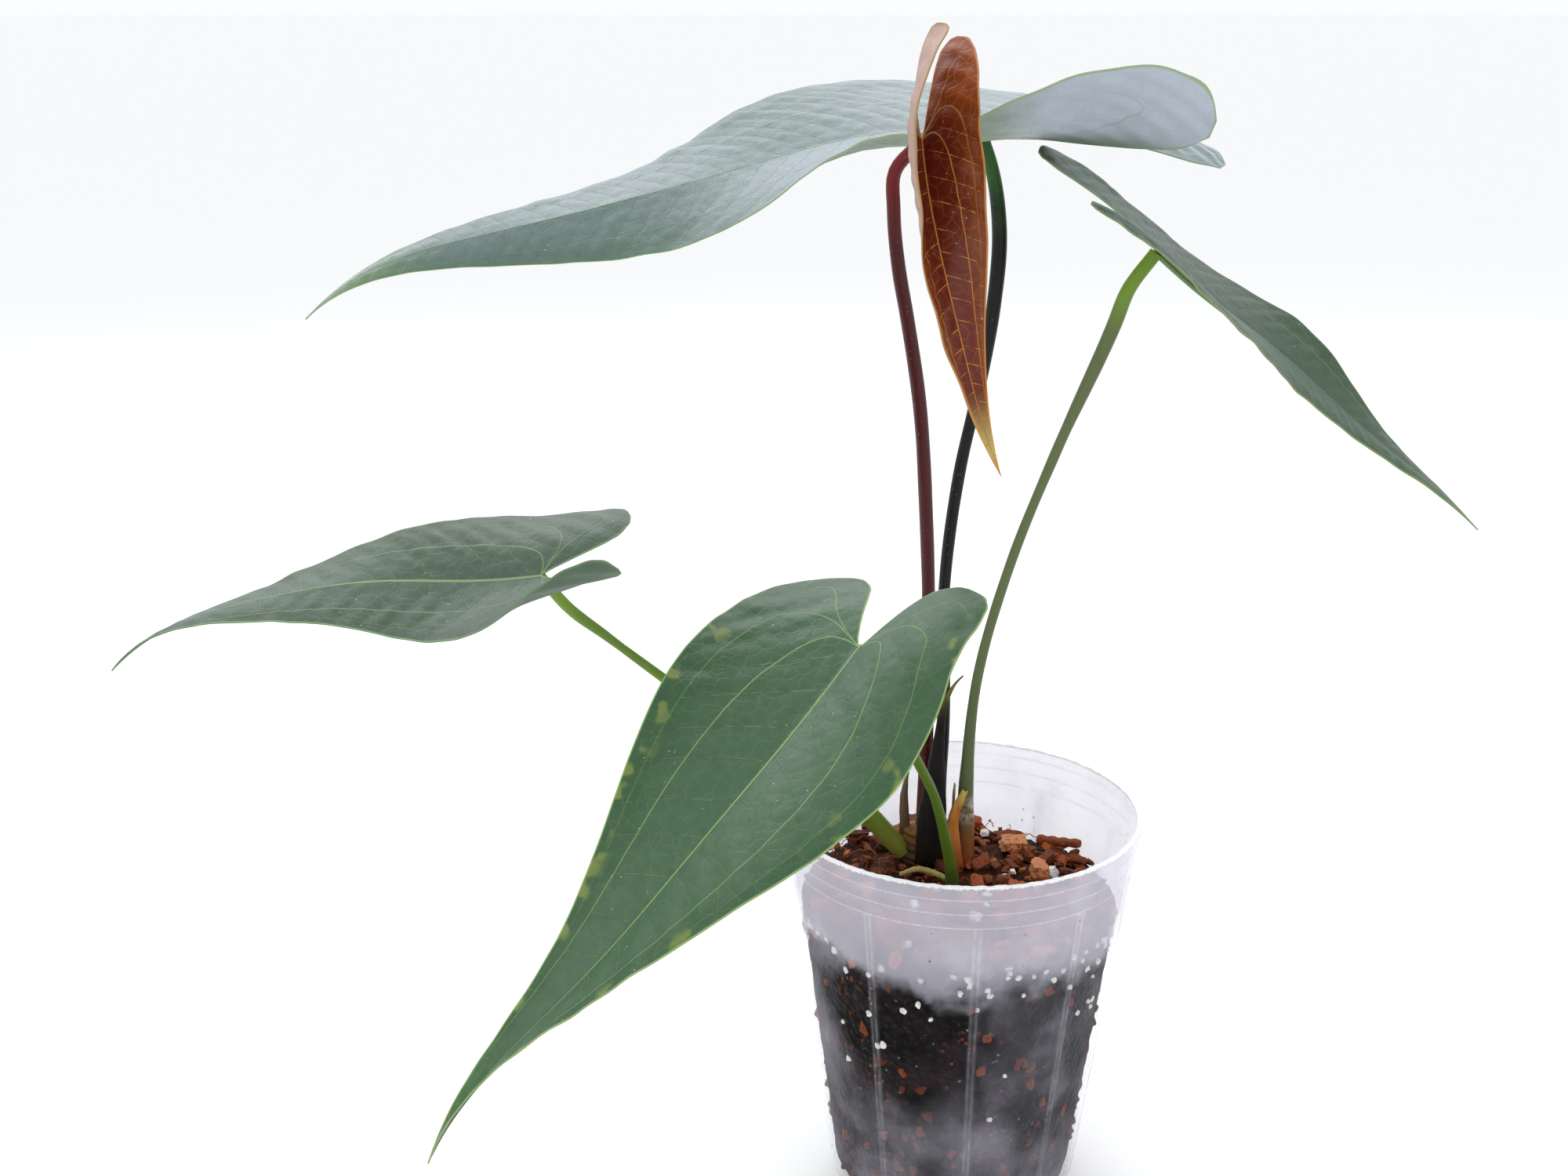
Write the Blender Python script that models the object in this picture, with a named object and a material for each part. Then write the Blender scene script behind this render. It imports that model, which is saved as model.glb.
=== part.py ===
"""A young potted anthurium: five long heart-shaped leaves on slender stalks, in a thin tapered nursery pot of bark mix.

Metres, +Z up. The origin is the middle of the pot's underside. The front of the plant faces -Y.
"""

import math
import random

import bmesh
import bpy
import numpy as np
from mathutils import Euler, Vector

MM = 0.001
GAP = 0.3 * MM  # air left between two pieces that touch

# Pot
POT_HEIGHT = 142 * MM
POT_TOP_RADIUS = 59.3 * MM  # plain wall carried up to the top edge
POT_SLOPE = 0.127  # gain in radius per unit of height
POT_WALL = 1.0 * MM
POT_FLOOR = 1.5 * MM
POT_FOOT_RADIUS = 36 * MM
POT_SHOULDER_HEIGHT = 10 * MM  # top of the slanted foot
RIM_BAND = 5.2 * MM  # height of each of the three stepped bands below the edge
RIM_STEP = 0.25 * MM
POT_SEGMENTS = 64

# Potting mix
MIX_EDGE = 112 * MM
MIX_MOUND = 5 * MM
MIX_MOUND_WIDTH = 32 * MM
MIX_ROUGHNESS = 0.7 * MM
MIX_RINGS = 7

# Crown: the short stem that carries the leaf stalks
CROWN = Vector((-11, 16, 0)) * MM
CROWN_BOTTOM = 88 * MM
CROWN_NECK = 118 * MM
CROWN_TOP = 128 * MM
CROWN_ROOT_RADIUS = 3.5 * MM
CROWN_RADIUS = 7 * MM

# Leaves
LEAF_THICKNESS = 0.8 * MM
LEAF_ROWS = 20
LEAF_COLUMNS = 4
STATIONS = (-0.3, 0.0, 0.25, 0.5, 0.8, 1.0)  # along the midrib, in leaf lengths; the lobes lie below zero
# Flat half leaf in leaf lengths, (along, across): the edge of the gap between the lobes, then the outer margin.
SINUS_EDGE = ((0, 0), (-0.03, 0.010), (-0.08, 0.022), (-0.14, 0.036), (-0.2, 0.05), (-0.26, 0.066),
              (-0.31, 0.088), (-0.335, 0.115))
MARGIN = ((-0.335, 0.14), (-0.315, 0.172), (-0.27, 0.198), (-0.18, 0.216), (-0.05, 0.222), (0.08, 0.212),
          (0.2, 0.188), (0.35, 0.146), (0.5, 0.102), (0.65, 0.064), (0.8, 0.033), (0.92, 0.013), (1, 0))
BELLY_CENTRE = 0.35
BELLY_SPREAD = 0.25
MARGIN_REFERENCE = 0.22  # half width, in leaf lengths, over which a stated curl builds up

# Each leaf: where its stalk meets it, its length, its width and lobe factors, and whole degrees at STATIONS.
# heading turns the midrib about +Z, slope lifts it, rise lifts each half from the midrib, curl bends it further.
LEAVES = {
    "front": dict(attach=(-37, -61, 220), length=195, width=0.99, lobe=0.41, belly=0.15,
                  heading=(-149, -130, -128, -143, -166, -182), slope=(-25, -30, -25, -38, -44, -67),
                  rise_right=(-34, 4, 26, 36, 32, 32), curl_right=(1, 11, 14, 13, 7, 2),
                  rise_left=(6, 29, 6, -1, 16, 30), curl_left=(-28, -23, -25, -18, -7, 3)),
    "side": dict(attach=(-132, -39, 235), length=135, width=1.07, lobe=0.6, belly=0.01,
                 heading=(175, 181, 187, 188, 183, 181), slope=(-10, -7, 3, -8, -21, -50),
                 rise_right=(50, 44, 36, 14, -10, -25), curl_right=(-56, -45, -21, -7, 1, 7),
                 rise_left=(-11, -22, -33, -25, -7, 15), curl_left=(93, 55, 15, -5, -14, -19)),
    "top": dict(attach=(1, 13, 362), length=221, width=1.02, lobe=0.92, belly=0.06,
                heading=(155, 170, 189, 186, 179, 164), slope=(25, 2, -14, -14, -17, -44),
                rise_right=(13, 15, 23, 15, 22, 15), curl_right=(-11, -10, -7, -11, -9, -10),
                rise_left=(28, -15, -13, -41, -44, -25), curl_left=(68, 42, 33, 14, -2, -14)),
    "new": dict(attach=(-21, -49, 364), length=98, width=0.89, lobe=0.96, belly=0.09,
                heading=(-92, -86, -72, -62, -61, -58), slope=(-41, -51, -58, -62, -60, -50),
                rise_right=(92, 41, 21, 4, -11, -15), curl_right=(78, 87, 93, 85, 69, 49),
                rise_left=(25, 35, 41, 35, 28, 21), curl_left=(11, 17, 19, 15, 10, 5)),
    "right": dict(attach=(53, -10, 328), length=134, width=1.02, lobe=0.89, belly=0.09,
                  heading=(29, 17, 3, -12, -14, -16), slope=(-21, -40, -36, -41, -37, -45),
                  rise_right=(-9, -4, -4, -11, -14, -3), curl_right=(-18, -14, -7, -7, -10, -11),
                  rise_left=(27, 26, 26, 36, 13, -1), curl_left=(2, -8, -14, -5, -5, -6)),
}

# Each stalk: the points it passes, in mm from base to just short of its leaf, and its radius in mm at the base,
# middle and top. STALK_CLEARANCE is how far below the blade's middle surface it ends.
STALK_CLEARANCE = 1.9 * MM
STALKS = {
    "new": (((-11, 15, 130), (-11, 13, 171), (-12, 5, 214), (-14, -4, 243), (-18, -18, 284), (-23, -29, 312),
             (-26, -35, 327), (-28, -41, 344), (-28, -44, 355)), (2.4, 2.2, 1.9)),
    "top": (((-6, 19, 130), (-5, 17, 171), (-6, 16, 213), (-2, 15, 254), (4, 15, 285), (7, 14, 307),
             (8, 14, 332), (5, 13, 350)), (2.3, 2.0, 1.7)),
    "right": (((3, 14, 118), (3, 13, 146), (5, 9, 183), (14, 4, 225), (27, -1, 265), (42, -7, 306),
               (45, -9, 316)), (2.6, 1.7, 1.7)),
    "front": (((-3, -10, 116.5), (-7, -19, 141), (-11, -26, 157), (-17, -34, 172), (-27, -46, 195),
               (-33, -54, 209)), (2.0, 1.6, 1.5)),
    "side": (((-22, 13.5, 123.5), (-31, 10, 135), (-59, -3, 158), (-97, -20, 195), (-114, -28, 212),
              (-125, -35, 224)), (2.8, 1.5, 1.3)),
}

# Sheaths round the crown: points in mm, half widths in mm spread along them, and how flat the section is.
SHEATHS = {
    "sheath_dark": (((-9, 8.5, 129.5), (-8.5, 8, 140), (-8, 7.2, 152), (-7, 6.5, 166), (-5.5, 5.5, 177),
                     (-2.5, 4.5, 184), (0, 4, 187)), (3.8, 3.8, 3.3, 2.2, 1.6, 1.0, 0.3), 0.45),
    "sheath_olive": (((-17.5, 17, 129.5), (-17.8, 16.5, 140), (-16.5, 16, 149)), (1.5, 1.3, 0.3), 0.6),
    "sheath_amber": (((-1, 9, 118), (-1.8, 8.3, 130), (-0.8, 7.7, 137), (2, 7, 144.5)), (2.2, 2.0, 1.7, 0.7), 0.7),
    "sheath_bud": (((-1.6, 13.2, 118), (-1.4, 12.8, 132), (-1, 12.5, 145)), (0.9, 0.7, 0.25), 1.0),
}

AERIAL_ROOT = (((-20, -1, 117.3), (-13.5, 1, 118.3), (-8, -0.5, 117.4)), (0.7, 1.0, 1.1))
TWIG = (((33, 30, 115.5), (43, 22, 117.5)), (1.8, 1.7))

# Loose pieces on the mix
CHIP_COUNT = 16
PERLITE_COUNT = 6
CHIP_SIZE = (5, 9)  # mm, shortest and longest
PERLITE_SIZE = (2.4, 3.6)
CHIP_FIELD = (14 * MM, 46 * MM)  # ring round the pot's middle where they lie

COLOURS = {
    "pot": ((0.80, 0.79, 0.90), 0.35, 0.0),
    "potting_mix": ((0.05, 0.025, 0.015), 0.95, 0.0),
    "bark": ((0.36, 0.12, 0.04), 0.85, 0.0),
    "perlite": ((0.85, 0.83, 0.78), 0.9, 0.0),
    "crown": ((0.06, 0.03, 0.015), 0.7, 0.0),
    "leaf_front": ((0.05, 0.17, 0.05), 0.42, 0.0),
    "leaf_side": ((0.10, 0.19, 0.12), 0.42, 0.0),
    "leaf_top": ((0.22, 0.30, 0.32), 0.40, 0.0),
    "leaf_new": ((0.30, 0.09, 0.02), 0.30, 0.0),
    "leaf_right": ((0.05, 0.12, 0.06), 0.42, 0.0),
    "stalk_front": ((0.09, 0.16, 0.02), 0.4, 0.0),
    "stalk_side": ((0.20, 0.30, 0.05), 0.4, 0.0),
    "stalk_top": ((0.01, 0.02, 0.01), 0.35, 0.0),
    "stalk_new": ((0.13, 0.01, 0.01), 0.35, 0.0),
    "stalk_right": ((0.12, 0.16, 0.05), 0.4, 0.0),
    "sheath_dark": ((0.03, 0.02, 0.01), 0.6, 0.0),
    "sheath_olive": ((0.12, 0.09, 0.03), 0.6, 0.0),
    "sheath_amber": ((0.55, 0.25, 0.06), 0.6, 0.0),
    "sheath_bud": ((0.20, 0.18, 0.05), 0.6, 0.0),
    "root": ((0.35, 0.40, 0.15), 0.6, 0.0),
    "twig": ((0.16, 0.08, 0.04), 0.85, 0.0),
}


def clear_scene():
    for old in list(bpy.data.objects):
        bpy.data.objects.remove(old, do_unlink=True)


def material(name):
    """The Principled material of that name, made from COLOURS the first time it is asked for."""
    found = bpy.data.materials.get(name)
    if found:
        return found
    colour, roughness, metallic = COLOURS[name]
    made = bpy.data.materials.new(name)
    made.use_nodes = True
    shader = made.node_tree.nodes["Principled BSDF"]
    shader.inputs["Base Color"].default_value = (*colour, 1)
    shader.inputs["Roughness"].default_value = roughness
    shader.inputs["Metallic"].default_value = metallic
    return made


def finish(bm, name, material_name, sharp_degrees=50):
    """Turns a bmesh into a smooth-shaded object with its material."""
    bmesh.ops.recalc_face_normals(bm, faces=bm.faces)
    mesh = bpy.data.meshes.new(name)
    bm.to_mesh(mesh)
    bm.free()
    mesh.shade_smooth()
    mesh.set_sharp_from_angle(angle=math.radians(sharp_degrees))
    mesh.materials.append(material(material_name))
    made = bpy.data.objects.new(name, mesh)
    bpy.context.scene.collection.objects.link(made)
    return made


def smooth_values(stations, values, places):
    """Values between stations on one smooth curve, with the slope at each station taken from its neighbours."""
    stations = np.asarray(stations, float)
    values = np.asarray(values, float)
    slopes = np.gradient(values, stations, axis=0)
    left = np.clip(np.searchsorted(stations, places) - 1, 0, len(stations) - 2)
    step = stations[left + 1] - stations[left]
    t = np.clip((places - stations[left]) / step, 0, 1)
    if values.ndim == 2:
        t = t[:, None]
        step = step[:, None]
    start = (2 * t**3 - 3 * t**2 + 1) * values[left] + (t**3 - 2 * t**2 + t) * step * slopes[left]
    end = (3 * t**2 - 2 * t**3) * values[left + 1] + (t**3 - t**2) * step * slopes[left + 1]
    return start + end


def smooth_route(points, count):
    """Count points along one smooth curve through the given points, and how far along each one is, from 0 to 1."""
    points = np.asarray(points, float)
    along = np.concatenate([[0], np.cumsum(np.linalg.norm(np.diff(points, axis=0), axis=1))])
    along /= along[-1]
    places = np.linspace(0, 1, count)
    return smooth_values(along, points, places), places


def tube(name, material_name, points_mm, widths_mm, rings=14, sides=8, flatness=1.0):
    """A closed stalk along a smooth route. Widths are radii spread evenly along it; flatness squashes its depth."""
    route, places = smooth_route(np.array(points_mm) * MM, rings)
    radii = (np.interp(places, np.linspace(0, 1, len(widths_mm)), widths_mm) * MM).tolist()
    bm = bmesh.new()
    loops = []
    side = Vector((1, 0, 0))
    for i, (point, radius) in enumerate(zip(route, radii)):
        forward = Vector(route[min(i + 1, rings - 1)] - route[max(i - 1, 0)]).normalized()
        side = (side - forward * side.dot(forward)).normalized()
        depth = forward.cross(side)
        turns = [2 * math.pi * k / sides for k in range(sides)]
        loops.append([bm.verts.new(Vector(point) + radius * (math.cos(a) * side + flatness * math.sin(a) * depth))
                      for a in turns])
    for lower, upper in zip(loops, loops[1:]):
        for k in range(sides):
            bm.faces.new((lower[k], lower[(k + 1) % sides], upper[(k + 1) % sides], upper[k]))
    bm.faces.new(loops[0])
    bm.faces.new(loops[-1])
    return finish(bm, name, material_name)


def turned(name, material_name, profile, segments=POT_SEGMENTS):
    """A solid of revolution about +Z from (radius, height) points that run round its section."""
    bm = bmesh.new()
    verts = [bm.verts.new((radius, 0, height)) for radius, height in profile]
    edges = [bm.edges.new(pair) for pair in zip(verts, verts[1:])]
    bmesh.ops.spin(bm, geom=verts + edges, axis=(0, 0, 1), cent=(0, 0, 0), angle=2 * math.pi, steps=segments,
                   use_duplicate=False)
    bmesh.ops.remove_doubles(bm, verts=bm.verts, dist=0.01 * MM)
    return finish(bm, name, material_name, 35)


def cut(target, cutter):
    """Takes the cutter out of the target and leaves it as a hidden guide."""
    cutter.hide_render = True
    cutter.display_type = "WIRE"
    boolean = target.modifiers.new("cut " + cutter.name, "BOOLEAN")
    boolean.object = cutter
    boolean.operation = "DIFFERENCE"
    boolean.solver = "EXACT"


def wall_radius(height):
    """Radius of the pot's plain outer wall at a height above its slanted foot."""
    return POT_TOP_RADIUS - POT_SLOPE * (POT_HEIGHT - height)


def pot_outside():
    """The outer profile from the middle of the underside to the top edge, with its three stepped bands."""
    points = [(0, 0), (POT_FOOT_RADIUS, 0), (wall_radius(POT_SHOULDER_HEIGHT), POT_SHOULDER_HEIGHT)]
    for band in (3, 2, 1):
        height = POT_HEIGHT - band * RIM_BAND
        offset = (3 - band) * RIM_STEP
        points.append((wall_radius(height) + offset, height))
        points.append((wall_radius(height) + offset + RIM_STEP, height + RIM_STEP))
    points.append((POT_TOP_RADIUS + 3 * RIM_STEP, POT_HEIGHT))
    return points


def inner_radius(height):
    """Radius of the pot's inside at a height, in the slanted foot or above it."""
    shoulder = wall_radius(POT_SHOULDER_HEIGHT) - POT_WALL
    if height >= POT_SHOULDER_HEIGHT:
        return shoulder + POT_SLOPE * (height - POT_SHOULDER_HEIGHT)
    foot = POT_FOOT_RADIUS - POT_WALL
    return foot + (shoulder - foot) * (height - POT_FLOOR) / (POT_SHOULDER_HEIGHT - POT_FLOOR)


def make_pot():
    inside = [(inner_radius(POT_HEIGHT), POT_HEIGHT), (inner_radius(POT_SHOULDER_HEIGHT), POT_SHOULDER_HEIGHT),
              (inner_radius(POT_FLOOR), POT_FLOOR), (0, POT_FLOOR)]
    turned("pot", "pot", pot_outside() + inside)


def mix_height(x, y):
    """Level of the mix at a place: a low mound under the crown on a flat bed."""
    away = (x - CROWN.x) ** 2 + (y - CROWN.y) ** 2
    return MIX_EDGE + MIX_MOUND * math.exp(-away / MIX_MOUND_WIDTH**2)


def make_potting_mix():
    """A plug that fills the pot up to the mound, with an uneven top and a socket for the crown."""
    noise = random.Random(11)
    bottom = POT_FLOOR + GAP
    profile = [(0, bottom), (inner_radius(bottom) - GAP, bottom),
               (inner_radius(POT_SHOULDER_HEIGHT) - GAP, POT_SHOULDER_HEIGHT), (inner_radius(MIX_EDGE) - GAP, MIX_EDGE)]
    top_radius = profile[-1][0]
    rings = [(top_radius * (1 - k / MIX_RINGS), MIX_EDGE) for k in range(1, MIX_RINGS + 1)]
    mix = turned("potting_mix", "potting_mix", profile + rings, 48)
    for vert in mix.data.vertices:
        if vert.co.z < MIX_EDGE - GAP:
            continue
        level = mix_height(vert.co.x, vert.co.y)
        near_crown = (vert.co - CROWN).to_2d().length < 2 * CROWN_RADIUS
        rough = 0 if near_crown else noise.uniform(-MIX_ROUGHNESS, 0)
        vert.co.z = level + rough if vert.co.to_2d().length < top_radius - GAP else MIX_EDGE
    socket = crown_solid("crown_socket", GAP)
    cut(mix, socket)


def crown_solid(name, grow):
    """The crown: a tapered root end, a swollen neck at the surface and a narrower top. grow swells all of it."""
    profile = [(0, CROWN_BOTTOM - grow), (CROWN_ROOT_RADIUS + grow, CROWN_BOTTOM - grow),
               (CROWN_RADIUS + grow, CROWN_NECK - 6 * MM), (CROWN_RADIUS + grow, CROWN_NECK),
               (CROWN_RADIUS - 1 * MM + grow, CROWN_TOP + grow), (0, CROWN_TOP + grow)]
    made = turned(name, "crown", profile, 20)
    made.location = (CROWN.x, CROWN.y, 0)
    return made


def leaf_frames(leaf, places):
    """Midrib points, the direction to its right, and its upward normal at places along it, in leaf lengths."""
    fine = np.linspace(STATIONS[0] - 0.06, 1, 281)
    heading = np.radians(smooth_values(STATIONS, leaf["heading"], fine))
    slope = np.radians(smooth_values(STATIONS, leaf["slope"], fine))
    forward = np.stack([np.cos(slope) * np.cos(heading), np.cos(slope) * np.sin(heading), np.sin(slope)], 1)
    right = np.stack([np.sin(heading), -np.cos(heading), np.zeros_like(heading)], 1)
    up = np.cross(right, forward)
    walk = np.cumsum((forward[1:] + forward[:-1]) / 2 * (fine[1] - fine[0]), axis=0)
    walk = np.concatenate([np.zeros((1, 3)), walk])

    def at(values):
        return np.stack([np.interp(places, fine, values[:, k]) for k in range(3)], 1)

    start = np.array([np.interp(0, fine, walk[:, k]) for k in range(3)])
    midrib = np.array(leaf["attach"]) * MM + (at(walk) - start) * leaf["length"] * MM
    return midrib, at(right), at(up)


def bend_half(leaf, flat, side):
    """Places flat (along, across) points of one half of the blade; side is +1 for the right half, -1 for the left."""
    along = np.where(flat[:, 0] < 0, flat[:, 0] * leaf["lobe"], flat[:, 0])
    belly = 1 + leaf["belly"] * np.exp(-(((flat[:, 0] - BELLY_CENTRE) / BELLY_SPREAD) ** 2))
    across = flat[:, 1] * leaf["width"] * belly
    name = "right" if side > 0 else "left"
    rise = np.radians(smooth_values(STATIONS, leaf["rise_" + name], along))
    curl = np.radians(smooth_values(STATIONS, leaf["curl_" + name], along)) * across / MARGIN_REFERENCE
    reach = across * np.sinc(curl / (2 * np.pi)) * leaf["length"] * MM
    midrib, right, up = leaf_frames(leaf, along)
    angle = (rise + curl / 2)[:, None]
    return midrib + reach[:, None] * (side * right * np.cos(angle) + up * np.sin(angle))


def half_outline(rows):
    """Rows of the flat half blade: (along, inner edge, outer edge), closer together in the round lobe and at the tip."""
    sinus = np.array(SINUS_EDGE)[::-1]
    margin = np.array(MARGIN)
    along = sinus[0, 0] + (1 - sinus[0, 0]) * (1 - np.cos(np.linspace(0, 1, rows + 1) ** 0.8 * math.pi / 2)) ** 0.75
    along[np.argmin(abs(along[1:])) + 1] = 0
    inner = np.where(along < 0, smooth_values(sinus[:, 0], sinus[:, 1], np.minimum(along, 0)), 0)
    return along, inner, smooth_values(margin[:, 0], margin[:, 1], along)


def make_leaf(name):
    """One blade as a curved sheet of both halves, joined along the midrib, then thickened both ways."""
    leaf = LEAVES[name]
    along, inner, outer = half_outline(LEAF_ROWS)
    bm = bmesh.new()
    midrib = {}
    for side in (1, -1):
        grid = []
        for row, (u, low, high) in enumerate(zip(along, inner, outer)):
            flat = np.array([(u, low + (high - low) * k / LEAF_COLUMNS) for k in range(LEAF_COLUMNS + 1)])
            points = bend_half(leaf, flat, side)
            verts = []
            for column, point in enumerate(points):
                shared = u >= 0 and (column == 0 or row == LEAF_ROWS)
                if shared and row in midrib:
                    verts.append(midrib[row])
                    continue
                vert = bm.verts.new(point)
                if shared:
                    midrib[row] = vert
                verts.append(vert)
            grid.append(verts)
        for lower, upper in zip(grid, grid[1:]):
            for k in range(LEAF_COLUMNS):
                corners = [lower[k], lower[k + 1], upper[k + 1], upper[k]]
                corners = list(dict.fromkeys(corners))
                bm.faces.new(corners if side > 0 else corners[::-1])
    blade = finish(bm, "leaf_" + name, "leaf_" + name)
    thicken = blade.modifiers.new("thickness", "SOLIDIFY")
    thicken.thickness = LEAF_THICKNESS
    thicken.offset = 0


def make_stalk(name):
    """A stalk that ends just under the point where its blade spreads."""
    points, widths = STALKS[name]
    attach, _, up = leaf_frames(LEAVES[name], np.array([0.0]))
    end = (attach[0] - up[0] * STALK_CLEARANCE) / MM
    tube("stalk_" + name, "stalk_" + name, [*points, tuple(end)], widths, rings=20)


def make_loose_piece(name, material_name, place, size, seed):
    """A broken lump: a bevelled block with shifted corners, tipped a little, resting just above the mix."""
    noise = random.Random(seed)
    bm = bmesh.new()
    bmesh.ops.create_cube(bm, size=1)
    stretch = Vector((size, size * noise.uniform(0.55, 0.8), size * noise.uniform(0.3, 0.45)))
    bmesh.ops.scale(bm, vec=stretch, verts=bm.verts)
    for vert in bm.verts:
        vert.co += Vector([noise.uniform(-0.13, 0.13) * size for _ in range(3)])
    bmesh.ops.bevel(bm, geom=bm.edges[:], offset=0.1 * size, segments=1, affect="EDGES")
    turn = Euler((noise.uniform(-0.3, 0.3), noise.uniform(-0.3, 0.3), noise.uniform(0, 2 * math.pi)))
    bmesh.ops.rotate(bm, matrix=turn.to_matrix(), verts=bm.verts)
    lowest = min(vert.co.z - mix_height(place.x + vert.co.x, place.y + vert.co.y) for vert in bm.verts)
    bmesh.ops.translate(bm, vec=(place.x, place.y, GAP - lowest), verts=bm.verts)
    finish(bm, name, material_name, 30)


def scatter_loose_pieces():
    """Bark chips and perlite grains in a ring round the crown, none touching another or a stalk."""
    pick = random.Random(5)
    stalk_feet = [Vector(points[0][:2]) * MM for points, _ in STALKS.values()]
    taken = [(foot, 4 * MM) for foot in stalk_feet] + [(CROWN.to_2d(), 9 * MM)]
    taken += [(Vector(point[:2]) * MM, 3 * MM) for point in AERIAL_ROOT[0] + TWIG[0]]
    taken += [(Vector(points[0][:2]) * MM, 3 * MM) for points, _, _ in SHEATHS.values()]
    taken += [((Vector(TWIG[0][0][:2]) + Vector(TWIG[0][1][:2])) * MM / 2, 4 * MM)]
    kinds = [("bark_chip", "bark", CHIP_SIZE)] * CHIP_COUNT + [("perlite", "perlite", PERLITE_SIZE)] * PERLITE_COUNT
    counts = {}
    for kind, material_name, sizes in kinds:
        size = pick.uniform(*sizes) * MM
        while True:
            angle = pick.uniform(0, 2 * math.pi)
            place = Vector((math.cos(angle), math.sin(angle))) * pick.uniform(*CHIP_FIELD)
            if all((place - other).length > 0.72 * size + room for other, room in taken):
                break
        taken.append((place, 0.72 * size))
        counts[kind] = counts.get(kind, 0) + 1
        make_loose_piece(f"{kind}_{counts[kind]:02d}", material_name, place, size, len(taken))


def main():
    clear_scene()
    make_pot()
    make_potting_mix()
    crown_solid("crown", 0)
    for name in LEAVES:
        make_leaf(name)
        make_stalk(name)
    for name, (points, widths, flatness) in SHEATHS.items():
        tube(name, name, points, widths, rings=10, flatness=flatness)
    tube("aerial_root", "root", *AERIAL_ROOT, rings=8, sides=6)
    tube("twig", "twig", *TWIG, rings=3, sides=7)
    scatter_loose_pieces()


main()
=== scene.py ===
"""The looks of a young potted anthurium in a milky nursery pot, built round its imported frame.

Metres, +Z up, front of the plant towards -Y. Tables of shapes are in millimetres and leaf lengths, as they say.
"""

import math
import random

import bmesh
import bpy
import numpy as np
from bpy.props import FloatProperty, FloatVectorProperty, IntProperty, PointerProperty
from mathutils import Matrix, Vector, noise


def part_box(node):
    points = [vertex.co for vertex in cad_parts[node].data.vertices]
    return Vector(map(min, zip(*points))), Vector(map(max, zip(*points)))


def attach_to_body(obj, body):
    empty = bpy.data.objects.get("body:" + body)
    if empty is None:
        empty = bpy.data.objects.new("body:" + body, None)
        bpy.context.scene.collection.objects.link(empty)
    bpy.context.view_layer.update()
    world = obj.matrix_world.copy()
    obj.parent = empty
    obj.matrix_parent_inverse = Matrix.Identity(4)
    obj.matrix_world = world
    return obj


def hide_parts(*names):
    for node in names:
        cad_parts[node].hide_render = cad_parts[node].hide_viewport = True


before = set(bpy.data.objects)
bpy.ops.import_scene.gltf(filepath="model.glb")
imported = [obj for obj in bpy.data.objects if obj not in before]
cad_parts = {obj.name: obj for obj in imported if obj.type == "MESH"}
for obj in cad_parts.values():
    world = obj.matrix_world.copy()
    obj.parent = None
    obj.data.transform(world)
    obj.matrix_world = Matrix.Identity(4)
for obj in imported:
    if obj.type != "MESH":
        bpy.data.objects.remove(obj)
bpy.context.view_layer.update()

bl_info = {
    "name": "Potted Anthurium",
    "version": (1, 0, 0),
    "blender": (4, 5, 0),
    "location": "View3D > Sidebar > Anthurium",
    "description": "Builds the leaves, stalks, bark mix and pot of a young anthurium",
    "category": "Add Mesh",
}

MM = 0.001
BODY = "root"

# Pot, as the frame has it
POT_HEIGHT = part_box("pot")[1].z
POT_TOP_RADIUS = 59.3 * MM
POT_SLOPE = 0.127
POT_WALL = 1.0 * MM
POT_FLOOR = 1.5 * MM
POT_FOOT_RADIUS = 36 * MM
POT_SHOULDER_HEIGHT = 10 * MM
RIM_BAND = 5.2 * MM
RIM_STEP = 0.25 * MM

# Mix and crown
MIX_EDGE = 112 * MM
MIX_MOUND = 5 * MM
MIX_MOUND_WIDTH = 32 * MM
CROWN = Vector((-11, 16, 0)) * MM

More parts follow.
